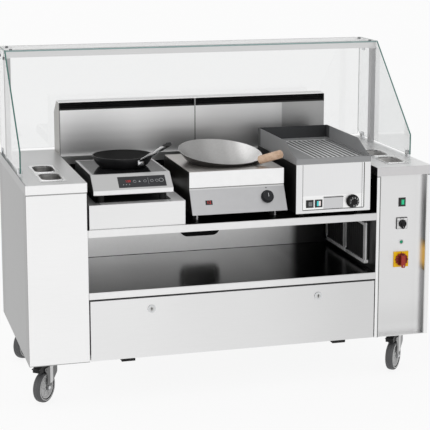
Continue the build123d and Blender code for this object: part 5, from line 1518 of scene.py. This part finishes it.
@dataclass
class Griddle(Assembly):
    """Griddle with its lamps, dial and drawer."""

    lamp: Pair = (0.349, 0.7595)
    frame_in: float = 0.0148
    bed_in: float = 0.004
    bed: tuple[Point, Point] = ((-0.0115, -0.0125, 0.0), (0.0115, 0.0125, 0.0032))
    lens_half: float = 0.0105
    lens_t: float = 0.0045
    rocker_x: float = 0.311
    rocker_half: Pair = (0.0055, 0.0085)
    knob: Pair = (0.4955, 0.762)
    face: Pair = (-0.393, -0.384)
    field_x: Pair = (0.28, 0.5445)
    wall_z: Pair = (0.9222, 1.0)
    ribbed_x: Pair = (0.345, 0.5555)
    # Painted glints where the cooker's front feet catch the light, and their half width
    glint_feet: Pair = (-0.143, 0.186)
    foot_glint: float = 0.0035

    def build(self) -> None:
        """Lamp lenses and the figures on the dial."""
        x, z = self.lamp
        depth = seat("switch_frames", (x - self.frame_in, BEFORE, z)).translation.y
        at = place((x, depth + self.bed_in, z))
        fit(Bench.block("griddle_lamp_bed", *self.bed, 0.0008, at), BLACK)
        lenses = (("teal", -0.0075, 0.0006, Lamp.TEAL), ("pink", 0.0006, 0.0092, Lamp.PINK))
        for name, low, high, finish in lenses:
            lens = Bench.block(f"griddle_lens_{name}", (low, -self.lens_half, 0.0),
                               (high, self.lens_half, self.lens_t), 0.0012, at)
            fit(lens, finish.value)
        x, z = self.knob
        dial = seat("griddle_knob", (x, BEFORE, z))
        dial.translation = (x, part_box("griddle_knob")[0].y, z)
        digits = Bench.dial("griddle_digits", "123456789", (190.0, -36.0), 0.0168, 0.0095, dial)
        fit(digits, PALE_MARK, "griddle_knob")

    def dress(self) -> None:
        """Dress the griddle from its casing to its feet."""
        self.casing()
        self.plate()
        shadow = (Spot(0.012, 0.4, across=(0.28, self.rocker_x - self.rocker_half[0])),
                  Spot(0.012, 0.4, up=(self.lamp[1] + self.rocker_half[1], 0.8)))
        dress(Moulded("rocker_grey", (0.19, 0.195, 0.20), 0.3, patches=shadow), "griddle_rocker")
        # Painted glints on the cooker's front feet
        glints = tuple(Spot(1.0, 0.3, across=about(x, self.foot_glint)) for x in self.glint_feet)
        dress(Moulded("foot_rubber", 0.014, 0.7, gloss=0.2, patches=glints), "appliance_feet")
        dress(BLACK, "griddle_knob")

    def casing(self) -> None:
        """White-steel front with dark joints, flanks in painted shade, grey splash walls and the drawer's
        front.
        """
        # Painted shade on the flanks
        flank = Spot(0.010, 0.4, up=(0.72, 0.9215), faces=Axis.ACROSS)
        walls = Patch((0.29, 0.294, 0.30), 0.42, up=self.wall_z)
        cheeks = Spot((0.275, 0.278, 0.283), 0.42, faces=Axis.ACROSS, up=self.wall_z)
        behind = Patch((0.075, 0.077, 0.08), 0.42, deep=(0.09, 0.2), up=self.wall_z)
        strip = Patch(0.97, deep=(-0.392, -0.380), up=(0.735, 0.792), across=self.field_x)
        joints = tuple(Patch(level, 0.4, deep=self.face, up=(0.735, 0.921), across=about(x, half))
                       for x, half, level in zip(self.field_x, (0.001, 0.0018), (0.13, 0.07)))
        base = Patch(0.05, 0.4, deep=self.face, up=(0.7325, 0.7355), across=self.field_x)
        dress(Sheet("griddle_steel", (0.86, 0.86, 0.865), 0.36, grain=Grain.UPRIGHT,
                    patches=(strip, *joints, base, flank, walls, cheeks, behind)), "griddle_casing")
        edge = Patch(0.06, 0.4, deep=(FRONT, -0.392), up=(0.7825, 0.79))
        dress(Sheet("drawer_steel", (0.66, 0.66, 0.67), 0.36, patches=(edge,)), "griddle_drawer")

    def plate(self) -> None:
        """Cast plate with painted highlights on its ribs, painted shade in its grooves and a grey front."""
        # Painted highlights on the rib tops and painted shade in the grooves
        ribs = Patch((0.75, 0.755, 0.76), 0.36, 0.3, across=self.ribbed_x, deep=(-0.34, 0.1),
                     up=(0.9375, 0.9395))
        grooves = Patch((0.085, 0.086, 0.088), 0.5, 0.3, across=self.ribbed_x, deep=(-0.36, 0.11),
                        up=(0.930, 0.9375))
        front = Patch((0.33, 0.334, 0.34), 0.4, 0.8, deep=(-0.392, -0.3885))
        dress(Moulded("griddle_iron", (0.27, 0.274, 0.278), 0.4, metal=0.3, patches=(ribs, grooves, front)),
              "griddle_plate")


@dataclass
class Studio:
    """Floor, light and camera."""

    eye: tuple[float, float, float] = (-1.5501, -5.6112, 1.9255)
    yaw: float = -15.649
    pitch: float = 79.7606
    lens: float = 116.829
    shift: float = -0.12
    reach: float = 160.0
    paint: float = 0.9
    white: float = 0.88
    horizon: float = 0.80
    zenith: float = 0.56
    key: float = 0.75
    key_angle: float = 130.0
    key_turn: tuple[float, float, float] = (radians(43.0), 0.0, radians(-55.0))

    def floor(self) -> None:
        """Pale floor that keeps the shadow and is white to the camera, in metal and through glass."""
        Bench.clear()
        bpy.ops.mesh.primitive_plane_add(size=self.reach)
        floor = Bench.settle("floor")
        graph = Graph("floor_white")
        graph.put(Base_Color=rgb(self.paint), Roughness=1.0, Specular_IOR_Level=0.0)
        path = graph.node("LightPath", {}).outputs
        seen = graph.calc("MAXIMUM", graph.calc("MAXIMUM", path["Is Camera Ray"], path["Is Glossy Ray"]),
                          path["Is Transmission Ray"])
        paper = graph.node("Emission", {"Color": rgb(1.0), "Strength": 1.0}).outputs[0]
        share = graph.calc("MULTIPLY", seen, self.white)
        mixed = graph.node("MixShader", {0: share, 1: graph.shader.outputs[0], 2: paper}).outputs[0]
        graph.tree.links.new(mixed, graph.tree.nodes["Material Output"].inputs["Surface"])
        floor.data.materials.append(graph.material)

    def sky(self) -> None:
        """Plain white world, a little brighter near the horizon than overhead."""
        scene = bpy.context.scene
        scene.world = scene.world or bpy.data.worlds.new("studio")
        scene.world.use_nodes = True
        tree = scene.world.node_tree
        way = tree.nodes.new("ShaderNodeTexCoord").outputs["Generated"]
        split = tree.nodes.new("ShaderNodeSeparateXYZ")
        level = tree.nodes.new("ShaderNodeMapRange")
        level.inputs["To Min"].default_value = self.horizon
        level.inputs["To Max"].default_value = self.zenith
        tree.links.new(way, split.inputs[0])
        tree.links.new(split.outputs[2], level.inputs["Value"])
        sky = tree.nodes["Background"]
        sky.inputs["Color"].default_value = (*rgb(1.0), 1.0)
        tree.links.new(level.outputs[0], sky.inputs["Strength"])

    def build(self) -> None:
        """Make the floor, the world, the lamp and the camera."""
        scene = bpy.context.scene
        scene.view_settings.view_transform = "Standard"
        self.floor()
        self.sky()
        bpy.ops.object.light_add(type="SUN", location=(0.0, 0.0, 5.0), rotation=self.key_turn)
        key = bpy.context.object.data
        key.energy, key.angle = self.key, radians(self.key_angle)
        turn = (radians(self.pitch), 0.0, radians(self.yaw))
        bpy.ops.object.camera_add(location=self.eye, rotation=turn)
        scene.camera = bpy.context.object
        scene.camera.data.lens, scene.camera.data.shift_y = self.lens, self.shift


def main() -> None:
    """Build the studio, then build and dress each part of the station."""
    logging.basicConfig(level=logging.INFO, format="%(message)s")
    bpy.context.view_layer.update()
    Studio().build()
    kinds = (Columns, Hood, Screen, Controls, ServiceBay, Filters, Castors, Hob, WokCooker, Griddle)
    for kind in kinds:
        part = kind()
        part.build()
        part.dress()
        LOG.info("%s done", kind.__name__)


if __name__ == "__main__":
    main()
